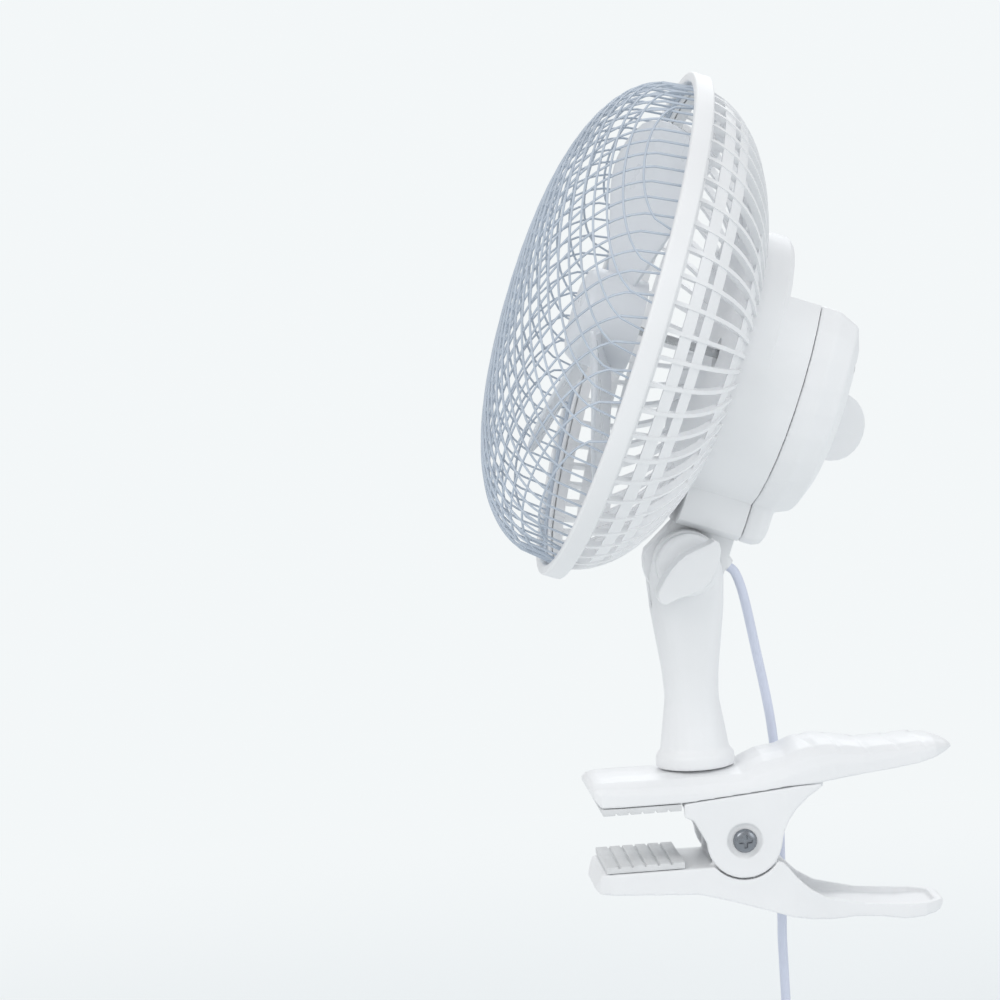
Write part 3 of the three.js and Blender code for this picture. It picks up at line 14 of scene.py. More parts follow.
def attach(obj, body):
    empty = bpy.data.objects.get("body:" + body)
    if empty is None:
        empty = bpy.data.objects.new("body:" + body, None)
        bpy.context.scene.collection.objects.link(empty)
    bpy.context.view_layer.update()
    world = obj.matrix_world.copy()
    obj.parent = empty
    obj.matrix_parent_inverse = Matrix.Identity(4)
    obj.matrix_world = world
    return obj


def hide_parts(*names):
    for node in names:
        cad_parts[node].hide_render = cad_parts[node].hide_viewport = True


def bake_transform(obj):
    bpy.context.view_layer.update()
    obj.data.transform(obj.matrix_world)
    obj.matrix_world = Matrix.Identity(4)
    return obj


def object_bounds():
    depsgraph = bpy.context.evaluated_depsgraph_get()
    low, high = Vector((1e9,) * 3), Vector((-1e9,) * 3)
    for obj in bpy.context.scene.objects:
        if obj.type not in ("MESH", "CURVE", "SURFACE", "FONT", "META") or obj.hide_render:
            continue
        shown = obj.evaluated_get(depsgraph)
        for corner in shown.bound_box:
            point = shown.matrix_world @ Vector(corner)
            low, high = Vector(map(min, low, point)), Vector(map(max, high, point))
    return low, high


bl_info = {
    "name": "Clip Fan Looks",
    "version": (1, 0, 0),
    "blender": (4, 5, 0),
    "location": "3D View > Sidebar > Clip Fan",
    "description": "Dresses the clip fan's frame with its guard, blades, casings, clamp and cord",
    "category": "Object",
}

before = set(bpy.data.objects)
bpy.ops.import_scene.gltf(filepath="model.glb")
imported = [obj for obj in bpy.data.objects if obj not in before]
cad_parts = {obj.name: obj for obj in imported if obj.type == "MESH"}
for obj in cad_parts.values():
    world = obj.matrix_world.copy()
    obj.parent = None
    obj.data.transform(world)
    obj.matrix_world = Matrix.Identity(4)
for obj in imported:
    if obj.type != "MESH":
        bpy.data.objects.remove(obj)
cad_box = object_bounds()

MM = 0.001
FAN_AXIS = Vector((0, 1, 0))
HEAD_TILT = math.radians(20.4)
TILT_PIVOT = Vector((0, 19.4, 85)) * MM
RING_FROM_PIVOT = Vector((0, -44.3, 72.6)) * MM
HEAD = (
    Matrix.Translation(TILT_PIVOT)
    @ Matrix.Rotation(-HEAD_TILT, 4, "X")
    @ Matrix.Translation(RING_FROM_PIVOT)
)
FLOOR_GAP = 0.5 * MM


# ---------------------------------------------------------------- sizes and colours


class ClipFanSizes(bpy.types.PropertyGroup):
    """Sizes that the scene's own pieces are made from."""

    net_pitch: bpy.props.FloatProperty(
        name="Net pitch",
        description="Distance between neighbouring strands of the front net",
        default=7.6 * MM,
        subtype="DISTANCE",
        unit="LENGTH",
    )
    net_strand: bpy.props.FloatProperty(
        name="Net strand",
        description="Thickness of one coated strand",
        default=0.85 * MM,
        subtype="DISTANCE",
        unit="LENGTH",
    )
    rib_count: bpy.props.IntProperty(
        name="Grille ribs",
        description="Number of ribs round the rear grille",
        default=58,
        min=12,
        max=90,
    )
    rib_width: bpy.props.FloatProperty(
        name="Rib width",
        description="Width of one rib of the rear grille",
        default=1.4 * MM,
        subtype="DISTANCE",
        unit="LENGTH",
    )
    blade_count: bpy.props.IntProperty(
        name="Blades",
        description="Number of blades on the hub",
        default=3,
        min=2,
        max=8,
    )
    edge_round: bpy.props.FloatProperty(
        name="Moulded edge",
        description="Rounding on the edges of the moulded pieces",
        default=0.5 * MM,
        subtype="DISTANCE",
        unit="LENGTH",
    )
    cord_diameter: bpy.props.FloatProperty(
        name="Cord diameter",
        description="Outside diameter of the mains cord",
        default=3.4 * MM,
        subtype="DISTANCE",
        unit="LENGTH",
    )


class ClipFanColours(bpy.types.PropertyGroup):
    """Colours of the finishes, as linear values."""

    plastic: bpy.props.FloatVectorProperty(
        name="Plastic",
        description="White of the moulded casings, post and clamp",
        default=(0.885, 0.893, 0.905),
        size=3,
        min=0,
        max=1,
        subtype="COLOR",
    )
    blades: bpy.props.FloatVectorProperty(
        name="Blades",
        description="Cool white of the blades and their hub",
        default=(0.80, 0.825, 0.86),
        size=3,
        min=0,
        max=1,
        subtype="COLOR",
    )
    wire: bpy.props.FloatVectorProperty(
        name="Net wire",
        description="Blue-grey of the coated strands",
        default=(0.57, 0.64, 0.73),
        size=3,
        min=0,
        max=1,
        subtype="COLOR",
    )
    cord: bpy.props.FloatVectorProperty(
        name="Cord",
        description="Bluish white of the cord's sheath",
        default=(0.72, 0.76, 0.89),
        size=3,
        min=0,
        max=1,
        subtype="COLOR",
    )
    pad: bpy.props.FloatVectorProperty(
        name="Pads",
        description="Soft white of the jaws' pads",
        default=(0.76, 0.77, 0.78),
        size=3,
        min=0,
        max=1,
        subtype="COLOR",
    )
    backdrop: bpy.props.FloatVectorProperty(
        name="Backdrop",
        description="Pale blue-white behind the object",
        default=(0.90, 0.93, 0.94),
        size=3,
        min=0,
        max=1,
        subtype="COLOR",
    )


# ---------------------------------------------------------------- finishes


def shader_nodes(name):
    """A new material with its nodes, links and main shader."""
    material = bpy.data.materials.new(name)
    material.use_nodes = True
    nodes, links = material.node_tree.nodes, material.node_tree.links
    return material, nodes, links, nodes["Principled BSDF"]


def mottled(nodes, links, shader, colour, shade, scale):
    """Two close tones of one colour, in soft clouds."""
    place = nodes.new("ShaderNodeTexCoord")
    clouds = nodes.new("ShaderNodeTexNoise")
    clouds.inputs["Scale"].default_value = scale
    clouds.inputs["Detail"].default_value = 4
    tones = nodes.new("ShaderNodeValToRGB")
    tones.color_ramp.elements[0].position = 0.3
    tones.color_ramp.elements[0].color = (*[c * shade for c in colour], 1)
    tones.color_ramp.elements[1].position = 0.7
    tones.color_ramp.elements[1].color = (*colour, 1)
    links.new(place.outputs["Object"], clouds.inputs["Vector"])
    links.new(clouds.outputs["Fac"], tones.inputs["Fac"])
    links.new(tones.outputs["Color"], shader.inputs["Base Color"])
    return place


def uneven_gloss(nodes, links, shader, place, low, high, scale):
    """Roughness that wanders between two values."""
    smears = nodes.new("ShaderNodeTexNoise")
    smears.inputs["Scale"].default_value = scale
    smears.inputs["Detail"].default_value = 3
    span = nodes.new("ShaderNodeMapRange")
    span.inputs["From Min"].default_value = 0.3
    span.inputs["From Max"].default_value = 0.7
    span.inputs["To Min"].default_value = low
    span.inputs["To Max"].default_value = high
    links.new(place.outputs["Object"], smears.inputs["Vector"])
    links.new(smears.outputs["Fac"], span.inputs["Value"])
    links.new(span.outputs["Result"], shader.inputs["Roughness"])


def relief(nodes, links, shader, height, depth, strength):
    """Turns a height into a bump of a real depth."""
    bump = nodes.new("ShaderNodeBump")
    bump.inputs["Distance"].default_value = depth
    bump.inputs["Strength"].default_value = strength
    links.new(height, bump.inputs["Height"])
    links.new(bump.outputs["Normal"], shader.inputs["Normal"])


def moulded_plastic(name, colour, low, high, shade=0.965, grain=2600, depth=0.00004):
    """Injection-moulded plastic: a fine spark-eroded grain under a soft gloss."""
    material, nodes, links, shader = shader_nodes(name)
    place = mottled(nodes, links, shader, colour, shade, 28)
    uneven_gloss(nodes, links, shader, place, low, high, 55)
    pits = nodes.new("ShaderNodeTexNoise")
    pits.inputs["Scale"].default_value = grain
    pits.inputs["Detail"].default_value = 2
    links.new(place.outputs["Object"], pits.inputs["Vector"])
    relief(nodes, links, shader, pits.outputs["Fac"], depth, 0.5)
    shader.inputs["IOR"].default_value = 1.49
    return material


def soft_rubber(name, colour):
    """A dull elastomer with a pebbled skin."""
    material, nodes, links, shader = shader_nodes(name)
    place = mottled(nodes, links, shader, colour, 0.9, 90)
    uneven_gloss(nodes, links, shader, place, 0.7, 0.85, 120)
    pebbles = nodes.new("ShaderNodeTexVoronoi")
    pebbles.inputs["Scale"].default_value = 1600
    links.new(place.outputs["Object"], pebbles.inputs["Vector"])
    relief(nodes, links, shader, pebbles.outputs["Distance"], 0.00008, 0.6)
    return material


def brushed_metal(name, colour, low, high, stretch):
    """Metal with fine scratches drawn out along one axis."""
    material, nodes, links, shader = shader_nodes(name)
    place = mottled(nodes, links, shader, colour, 0.82, 180)
    lay = nodes.new("ShaderNodeMapping")
    lay.inputs["Scale"].default_value = stretch
    scratches = nodes.new("ShaderNodeTexNoise")
    scratches.inputs["Scale"].default_value = 1200
    scratches.inputs["Detail"].default_value = 5
    links.new(place.outputs["Object"], lay.inputs["Vector"])
    links.new(lay.outputs["Vector"], scratches.inputs["Vector"])
    relief(nodes, links, shader, scratches.outputs["Fac"], 0.00003, 0.6)
    uneven_gloss(nodes, links, shader, place, low, high, 240)
    shader.inputs["Metallic"].default_value = 1
    return material


def banded(name, colour, shade, bands, metal, direction, low, high):
    """Stacked plates or wound wire: close bands of relief along one direction."""
    material, nodes, links, shader = shader_nodes(name)
    place = mottled(nodes, links, shader, colour, shade, 160)
    turn = nodes.new("ShaderNodeMapping")
    turn.inputs["Rotation"].default_value = (HEAD_TILT, 0, 0)
    wave = nodes.new("ShaderNodeTexWave")
    wave.bands_direction = direction
    wave.inputs["Scale"].default_value = bands
    wave.inputs["Distortion"].default_value = 0.4
    links.new(place.outputs["Object"], turn.inputs["Vector"])
    links.new(turn.outputs["Vector"], wave.inputs["Vector"])
    relief(nodes, links, shader, wave.outputs["Fac"], 0.00025, 0.9)
    uneven_gloss(nodes, links, shader, place, low, high, 300)
    shader.inputs["Metallic"].default_value = metal
    return material


def cord_sheath(name, colour):
    """Soft vinyl with a long faint ripple along the cord."""
    material, nodes, links, shader = shader_nodes(name)
    place = mottled(nodes, links, shader, colour, 0.94, 70)
    uneven_gloss(nodes, links, shader, place, 0.36, 0.48, 140)
    ripple = nodes.new("ShaderNodeTexNoise")
    ripple.inputs["Scale"].default_value = 420
    ripple.inputs["Detail"].default_value = 2
    links.new(place.outputs["Object"], ripple.inputs["Vector"])
    relief(nodes, links, shader, ripple.outputs["Fac"], 0.00012, 0.5)
    return material


FINISH = {}


def make_finishes(colours):
    """All the finishes, by the record's slot or by a plain name."""
    FINISH["white_plastic"] = moulded_plastic("white_plastic_grain", colours.plastic, 0.34, 0.46)
    FINISH["pale_plastic"] = moulded_plastic("pale_blade_plastic", colours.blades, 0.26, 0.36, 0.95)
    FINISH["coated_wire"] = moulded_plastic("coated_wire_skin", colours.wire, 0.3, 0.42, 0.86, 1500)
    FINISH["pad_rubber"] = soft_rubber("soft_pad_rubber", colours.pad)
    FINISH["steel"] = brushed_metal("brushed_steel", (0.56, 0.57, 0.58), 0.24, 0.38, (1, 6, 1))
    FINISH["laminations"] = banded(
        "stacked_laminations", (0.20, 0.205, 0.21), 0.7, 260, 0.8, "Y", 0.42, 0.6
    )
    FINISH["copper_winding"] = banded(
        "wound_copper", (0.62, 0.24, 0.10), 0.75, 330, 1, "Z", 0.28, 0.42
    )
    FINISH["cast_metal"] = brushed_metal("cast_zinc", (0.42, 0.43, 0.44), 0.42, 0.6, (1, 1, 1))
    FINISH["dark_plastic"] = moulded_plastic(
        "dark_switch_plastic", (0.03, 0.031, 0.034), 0.5, 0.65, 0.7
    )
    FINISH["cord_sheath"] = cord_sheath("cord_vinyl", colours.cord)
    FINISH["tie_plastic"] = moulded_plastic("tie_strap", (0.86, 0.86, 0.86), 0.45, 0.6)
    FINISH["brass"] = brushed_metal("plated_brass", (0.72, 0.53, 0.25), 0.2, 0.34, (1, 1, 0.2))
    FINISH["screw_dark"] = brushed_metal(
        "dark_plated_screw", (0.30, 0.32, 0.35), 0.22, 0.36, (1, 1, 1)
    )


# ---------------------------------------------------------------- modelling helpers


def clear_selection():
    """Nothing is selected, and no piece is in edit mode."""
    if bpy.context.object and bpy.context.object.mode != "OBJECT":
        bpy.ops.object.mode_set(mode="OBJECT")
    bpy.ops.object.select_all(action="DESELECT")


def pick(*objs):
    """Selects these pieces only, the last of them active."""
    clear_selection()
    for obj in objs:
        obj.hide_set(False)
        obj.select_set(True)
    bpy.context.view_layer.objects.active = objs[-1]


def name_piece(obj, name):
    """Gives a piece and its mesh one name."""
    obj.name = name
    obj.data.name = name
    return obj


def settle(obj, place=None):
    """Puts a piece on its place and leaves its object at the origin."""
    pick(obj)
    if place is not None:
        obj.matrix_world = place @ obj.matrix_world
    bpy.ops.object.transform_apply(location=True, rotation=True, scale=True)
    return obj


def apply_all(obj):
    """Applies the modifiers of a piece in order."""
    pick(obj)
    for modifier in list(obj.modifiers):
        bpy.ops.object.modifier_apply(modifier=modifier.name)
    return obj


def smooth(obj, degrees=35):
    """Shades a piece smooth, apart from its sharper edges."""
    pick(obj)
    bpy.ops.object.shade_smooth_by_angle(angle=math.radians(degrees))
    return obj


def recalculate(obj):
    """Merges a piece's doubled points and turns its faces outwards."""
    pick(obj)
    bpy.ops.object.mode_set(mode="EDIT")
    bpy.ops.mesh.select_all(action="SELECT")
    bpy.ops.mesh.remove_doubles(threshold=1e-6)
    bpy.ops.mesh.normals_make_consistent(inside=False)
    bpy.ops.object.mode_set(mode="OBJECT")
    return obj


def paint(obj, finish):
    """Gives a piece one finish."""
    obj.data.materials.clear()
    obj.data.materials.append(FINISH[finish])
    return obj


def put_on(obj, body, finish, *nodes):
    """Paints a piece, makes it ride on its body and stand for its nodes."""
    paint(obj, finish)
    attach(obj, body)
    if nodes:
        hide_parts(*nodes)
    return obj


def bend_between(obj, first, last, start, end, finish, *nodes):
    """Paints a piece, bakes its place into its mesh and makes it stand for its nodes."""
    paint(obj, finish)
    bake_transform(obj)
    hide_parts(*nodes)
    return obj


def first_point(name, at):
    """A mesh of one point, left in edit mode with the point selected."""
    clear_selection()
    bpy.ops.mesh.primitive_plane_add(size=MM, location=at)
    obj = name_piece(bpy.context.object, name)
    bpy.ops.object.transform_apply(location=True, rotation=True, scale=True)
    bpy.ops.object.mode_set(mode="EDIT")
    bpy.ops.mesh.select_all(action="SELECT")
    bpy.ops.mesh.merge(type="CENTER")
    bpy.ops.mesh.select_mode(type="VERT")
    bpy.ops.mesh.select_all(action="SELECT")
    return obj


def drawn_line(name, points):
    """A line through points, extruded one point at a time. It stays in edit mode."""
    obj = first_point(name, points[0])
    for before, after in zip(points, points[1:]):
        step = Vector(after) - Vector(before)
        bpy.ops.mesh.extrude_vertices_move(TRANSFORM_OT_translate={"value": step})
    bpy.ops.mesh.select_all(action="SELECT")
    return obj


def turned(name, profile, steps, closed=True):
    """A profile of (radius, distance along the fan's axis), in millimetres, spun round it."""
    points = [Vector((r, y, 0)) * MM for r, y in profile]
    if closed:
        points.append(points[0])
    obj = drawn_line(name, points)
    bpy.ops.mesh.spin(steps=steps, angle=2 * math.pi, center=(0, 0, 0), axis=FAN_AXIS)
    bpy.ops.object.mode_set(mode="OBJECT")
    return recalculate(obj)


def rounded(obj, width, segments=2, degrees=30):
    """Rounds the sharp edges of a piece."""
    bevel = obj.modifiers.new("rounding", "BEVEL")
    bevel.width = width
    bevel.segments = segments
    bevel.limit_method = "ANGLE"
    bevel.angle_limit = math.radians(degrees)
    bevel.harden_normals = False
    bevel.use_clamp_overlap = True
    return apply_all(obj)


def copied_node(node, name):
    """A welded copy of a node's mesh, ready to be worked on."""
    clear_selection()
    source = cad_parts[node]
    obj = source.copy()
    obj.data = source.data.copy()
    for key in [k for k in obj.keys() if k.startswith("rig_")]:
        del obj[key]
    obj.parent = None
    bpy.context.scene.collection.objects.link(obj)
    name_piece(obj, name)
    obj.matrix_world = Matrix.Identity(4)
    pick(obj)
    if obj.data.has_custom_normals:
        bpy.ops.mesh.customdata_custom_splitnormals_clear()
    bpy.ops.object.mode_set(mode="EDIT")
    bpy.ops.mesh.select_all(action="SELECT")
    bpy.ops.mesh.remove_doubles(threshold=2e-6)
    bpy.ops.mesh.dissolve_limited(angle_limit=math.radians(0.6))
    bpy.ops.object.mode_set(mode="OBJECT")
    return obj


def softened(node, name, width, degrees=32, segments=2):
    """A node's form with its moulded edges rounded and its curves smooth."""
    obj = copied_node(node, name)
    rounded(obj, width, segments, degrees)
    return smooth(obj, degrees)


def recast(obj, grain, passes):
    """Casts a piece anew in one even skin, and smooths its facets and corners."""
    skin = obj.modifiers.new("skin", "REMESH")
    skin.mode = "VOXEL"
    skin.voxel_size = grain
    evened = obj.modifiers.new("evened", "SMOOTH")
    evened.factor = 0.5
    evened.iterations = passes
    apply_all(obj)
    return smooth(obj, 50)


def moulded(node, name, grain, passes):
    """A node's form, recast."""
    return recast(copied_node(node, name), grain, passes)


# ---------------------------------------------------------------- camera, light and floor

CAMERA_AZIMUTH = math.radians(86.078)
CAMERA_HEIGHT = math.radians(5.7436)
CAMERA_ROLL = math.radians(-3.6562)
CAMERA_DISTANCE = 1.39428
CAMERA_TARGET = Vector((0, -0.043529, 0.11077))


def add_camera():
    """The camera looks at the fan's side from a little above it."""
    back = Vector(
        (
            math.sin(CAMERA_AZIMUTH) * math.cos(CAMERA_HEIGHT),
            -math.cos(CAMERA_AZIMUTH) * math.cos(CAMERA_HEIGHT),
            math.sin(CAMERA_HEIGHT),
        )
    )
    level = (-back).cross(Vector((0, 0, 1))).normalized()
    up = level.cross(-back)
    right = math.cos(CAMERA_ROLL) * level + math.sin(CAMERA_ROLL) * up
    top = -math.sin(CAMERA_ROLL) * level + math.cos(CAMERA_ROLL) * up
    turn = Matrix((right, top, back)).transposed()
    clear_selection()
    bpy.ops.object.camera_add(location=CAMERA_TARGET + back * CAMERA_DISTANCE)
    camera = bpy.context.object
    camera.name = "photo_camera"
    camera.rotation_euler = turn.to_euler()
    camera.data.sensor_width = 36
    camera.data.lens = 144
    camera.data.dof.use_dof = False
    camera.data.clip_start = 0.05
    camera.data.clip_end = 60
    bpy.context.scene.camera = camera


def add_lamp(name, at, towards, size, watts, colour):
    """A large soft lamp."""
    clear_selection()
    bpy.ops.object.light_add(type="AREA", location=at)
    lamp = bpy.context.object
    lamp.name = name
    lamp.data.shape = "DISK"
    lamp.data.size = size
    lamp.data.energy = watts
    lamp.data.color = colour
    lamp.rotation_euler = (Vector(towards) - Vector(at)).to_track_quat("-Z", "Y").to_euler()


def light_world(colour):
    """An even pale surround that also shows in gloss."""
    world = bpy.data.worlds.new("pale_room")
    bpy.context.scene.world = world
    world.use_nodes = True
    nodes, links = world.node_tree.nodes, world.node_tree.links
    surround = nodes["Background"]
    surround.inputs["Color"].default_value = (0.97, 0.985, 1, 1)
    surround.inputs["Strength"].default_value = 0.71
    seen = nodes.new("ShaderNodeBackground")
    seen.inputs["Color"].default_value = (*colour, 1)
    seen.inputs["Strength"].default_value = 1
    path = nodes.new("ShaderNodeLightPath")
    either = nodes.new("ShaderNodeMath")
    either.operation = "MAXIMUM"
    choice = nodes.new("ShaderNodeMixShader")
    links.new(path.outputs["Is Camera Ray"], either.inputs[0])
    links.new(path.outputs["Is Transmission Ray"], either.inputs[1])
    links.new(either.outputs["Value"], choice.inputs["Fac"])
    links.new(surround.outputs["Background"], choice.inputs[1])
    links.new(seen.outputs["Background"], choice.inputs[2])
    links.new(choice.outputs["Shader"], nodes["World Output"].inputs["Surface"])


def floor_finish(colour):
    """Pale matt paper that keeps the shadow near the object and fades into the surround."""
    material, nodes, links, shader = shader_nodes("pale_floor")
    shader.inputs["Base Color"].default_value = (*[c * 0.93 for c in colour], 1)
    shader.inputs["Roughness"].default_value = 0.9
    far = nodes.new("ShaderNodeEmission")
    far.inputs["Color"].default_value = (*colour, 1)
    place = nodes.new("ShaderNodeTexCoord")
    reach = nodes.new("ShaderNodeVectorMath")
    reach.operation = "LENGTH"
    fade = nodes.new("ShaderNodeMapRange")
    fade.interpolation_type = "SMOOTHSTEP"
    fade.inputs["From Min"].default_value = 0.4
    fade.inputs["From Max"].default_value = 1.0
    path = nodes.new("ShaderNodeLightPath")
    share = nodes.new("ShaderNodeMath")
    share.operation = "MULTIPLY"
    choice = nodes.new("ShaderNodeMixShader")
    links.new(place.outputs["Object"], reach.inputs[0])
    links.new(reach.outputs["Value"], fade.inputs["Value"])
    links.new(fade.outputs["Result"], share.inputs[0])
    links.new(path.outputs["Is Camera Ray"], share.inputs[1])
    links.new(share.outputs["Value"], choice.inputs["Fac"])
    links.new(shader.outputs["BSDF"], choice.inputs[1])
    links.new(far.outputs["Emission"], choice.inputs[2])
    links.new(choice.outputs["Shader"], nodes["Material Output"].inputs["Surface"])
    return material


class CLIPFAN_OT_stage(bpy.types.Operator):
    """Add the camera, the lamps, the pale surround and the floor"""

    bl_idname = "clipfan.stage"
    bl_label = "Stage and Camera"

    def execute(self, context):
        colours = context.scene.clip_fan_colours
        context.scene.view_settings.view_transform = "Standard"
        add_camera()
        light_world(colours.backdrop)
        add_lamp("key_lamp", (1.5, -1.4, 1.7), (0, 0, 0.1), 1.6, 17.5, (1, 0.985, 0.97))
        add_lamp("side_lamp", (1.3, 1.6, 0.9), (0, 0, 0.1), 1.4, 7, (0.95, 0.98, 1))
        add_lamp("back_lamp", (-1.6, 0.4, 1.2), (0, 0, 0.1), 1.4, 8, (0.95, 0.98, 1))
        clear_selection()
        low = cad_box[0].z - FLOOR_GAP
        bpy.ops.mesh.primitive_circle_add(
            vertices=96, radius=12, fill_type="NGON", location=(0, 0, low)
        )
        floor = name_piece(bpy.context.object, "floor")
        settle(floor)
        floor.data.materials.append(floor_finish(colours.backdrop))
        return {"FINISHED"}


# ---------------------------------------------------------------- mains cord

GLAND_FROM_PIVOT = Vector((11.2, 4.6))  # backwards and up along the head, in millimetres
GLAND_TURN = math.radians(25)
GLAND_REACH = 5.1
CORD_FIXED = Vector((-18.6, 48.5, 30)) * MM  # handed to bend_between as the point below which the cord would stay with the clamp; no bending is done
COIL_X = -24
COIL_Z = -111
RUN_Y = 49.8
COIL_RADIUS = 25
COIL_TURNS = 9
COIL_LAYERS = 4
COIL_STEP = 4.1
COIL_LEAD = 5.7
COIL_TAIL = 17.8


def cord_exit():
    """Where the cord leaves the casing's sleeve, and in which direction, in millimetres."""
    back = GLAND_FROM_PIVOT.x + GLAND_REACH * math.cos(GLAND_TURN)
    above = GLAND_FROM_PIVOT.y - GLAND_REACH * math.sin(GLAND_TURN)
    tip = TILT_PIVOT / MM + Matrix.Rotation(-HEAD_TILT, 3, "X") @ Vector((0, back, above))
    lean = GLAND_TURN + HEAD_TILT
    return tip, Vector((0, math.cos(lean), -math.sin(lean)))


def lead_points():
    """The cord from the casing down past the clamp's far side, in millimetres."""
    tip, out = cord_exit()
    return [
        tip,
        tip + out * 3,
        Vector((-1.5, 39.3, 74)),
        Vector((-4, 41.1, 66.5)),
        Vector((-7.5, 42.8, 58.5)),
        Vector((-11, 44.6, 49.5)),
        Vector((-15, 46.6, 40)),
        Vector((-18.6, 48.5, 30)),
        Vector((-21.6, 49.9, 21)),
        Vector((-23.4, 50.9, 10)),
        Vector((COIL_X, 51.3, -4)),
        Vector((COIL_X, 51.1, -18)),
        Vector((COIL_X, 50.6, -34)),
        Vector((COIL_X, RUN_Y + 0.3, -50)),
        Vector((COIL_X, RUN_Y, -58)),
        Vector((COIL_X, RUN_Y, -74)),
        Vector((COIL_X, RUN_Y, -90)),
        Vector((COIL_X, RUN_Y, COIL_Z + 6)),
    ]


def coil_round():
    """The length of all the coil's turns."""
    inwards = COIL_TURNS / COIL_LAYERS * COIL_STEP
    return 2 * math.pi * (COIL_RADIUS - inwards / 2) * COIL_TURNS


def coil_point(along):
    """A point on the coil: inwards in one layer and outwards in the next, twice."""
    per_layer = COIL_TURNS / COIL_LAYERS
    left, right = COIL_X, COIL_X + (COIL_LAYERS - 1) * COIL_STEP
    if along < COIL_LEAD:
        return Vector((left, RUN_Y, COIL_Z + COIL_LEAD - along))
    if along > COIL_LEAD + coil_round():
        return Vector((right, RUN_Y, COIL_Z - (along - COIL_LEAD - coil_round())))
    turn = COIL_TURNS * (along - COIL_LEAD) / coil_round()
    layer = turn / per_layer
    inward = abs(layer - 2 * round(layer / 2))
    radius = COIL_RADIUS - COIL_STEP * per_layer * inward
    reversal = math.floor(layer + 0.5)
    share = min(max((turn - reversal * per_layer) * 2 + 0.5, 0), 1)
    climb = 0.5 - 0.5 * math.cos(math.pi * share) if 0 < reversal < COIL_LAYERS else 1
    below = COIL_LAYERS - 2 if reversal == COIL_LAYERS else reversal - 1
    x = left + COIL_STEP * (below + climb)
    angle = -2 * math.pi * turn
    return Vector(
        (x, RUN_Y - COIL_RADIUS + radius * math.cos(angle), COIL_Z + radius * math.sin(angle))
    )


def curve_through(points, between):
    """Points on a smooth curve through all the given points."""
    line = []
    ends = [points[0] * 2 - points[1], *points, points[-1] * 2 - points[-2]]
    for a, b, c, d in zip(ends, ends[1:], ends[2:], ends[3:]):
        for i in range(between):
            t = i / between
            line.append(
                0.5
                * (
                    2 * b
                    + (c - a) * t
                    + (2 * a - 5 * b + 4 * c - d) * t * t
                    + (3 * b - a - 3 * c + d) * t**3
                )
            )
    line.append(points[-1])
    return line


def wire(name, lines, radius, resolution):
    """Round wires along lines of points, as one mesh."""
    clear_selection()
    curve = bpy.data.curves.new(name, "CURVE")
    curve.dimensions = "3D"
    curve.bevel_depth = radius
    curve.bevel_resolution = resolution
    curve.use_fill_caps = True
    for points in lines:
        spline = curve.splines.new("POLY")
        spline.points.add(len(points) - 1)
        for spot, point in zip(spline.points, points):
            spot.co = (*point, 1)
    obj = bpy.data.objects.new(name, curve)
    bpy.context.scene.collection.objects.link(obj)
    pick(obj)
    bpy.ops.object.convert(target="MESH")
    obj = name_piece(bpy.context.object, name)
    return recalculate(obj)


def cord_line():
    """The whole cord's centreline, in metres."""
    line = curve_through(lead_points(), 5)
    whole = COIL_LEAD + coil_round() + COIL_TAIL
    count = COIL_TURNS * 36
    line += [coil_point(whole * i / count) for i in range(1, count + 1)]
    return [p * MM for p in line]


class CLIPFAN_OT_cord(bpy.types.Operator):
    """Add the mains cord with its coil, tie, plug and pins"""

    bl_idname = "clipfan.cord"
    bl_label = "Mains Cord"

    def execute(self, context):
        sizes = context.scene.clip_fan_sizes
        line = cord_line()
        cord = smooth(wire("mains_cord", [line], sizes.cord_diameter / 2, 3), 60)
        bend_between(
            cord, "post", "clamp", line[0], CORD_FIXED, "cord_sheath", "cord", "cord_coil"
        )
        tie = softened("cord_tie", "tie_strap", 0.3 * MM)
        put_on(tie, "clamp", "tie_plastic", "cord_tie")
        plug = softened("plug_body", "plug_moulding", 1.2 * MM, 25, 3)
        put_on(plug, "clamp", "cord_sheath", "plug_body")
        for number in (1, 2):
            pin = softened(f"plug_pin_{number}", f"plug_prong_{number}", 0.2 * MM)
            put_on(pin, "clamp", "brass", f"plug_pin_{number}")
        return {"FINISHED"}


# ---------------------------------------------------------------- guard

NET_RIM = 85.9
NET_RIM_Y = -1.1
NET_DEPTH = 40.2
NET_ROUNDNESS = 2.45
NET_STRETCH = 19.5  # how much wider the flat net is than its rim, in millimetres


def net_dome():
    """Rows of (distance over the flat net, radius on the dome, distance behind the ring)."""
    deep = NET_DEPTH + NET_RIM_Y
    table = [(0.0, 0.0, NET_RIM_Y - deep)]
    for i in range(1, 241):
        turn = i / 240 * math.pi / 2
        radius = NET_RIM * math.sin(turn) ** (2 / NET_ROUNDNESS)
        y = NET_RIM_Y - deep * math.cos(turn) ** (2 / NET_ROUNDNESS)
        flat = radius + NET_STRETCH * (radius / NET_RIM) ** 4.4
        table.append((flat, radius, y))
    return table


def on_net(table, u, v, lift):
    """The point of the dome over a point of the flat pattern, lifted off it a little."""
    over = min(math.hypot(u, v), table[-1][0])
    high = next((i for i, row in enumerate(table) if row[0] >= over), len(table) - 1)
    low = max(high - 1, 0)
    a, b = table[low], table[high]
    share = 0 if high == low else (over - a[0]) / (b[0] - a[0])
    radius = a[1] + (b[1] - a[1]) * share
    y = a[2] + (b[2] - a[2]) * share
    turn = math.atan2(v, u) + math.pi / 4
    return Vector((radius * math.cos(turn), y - lift, radius * math.sin(turn))) * MM


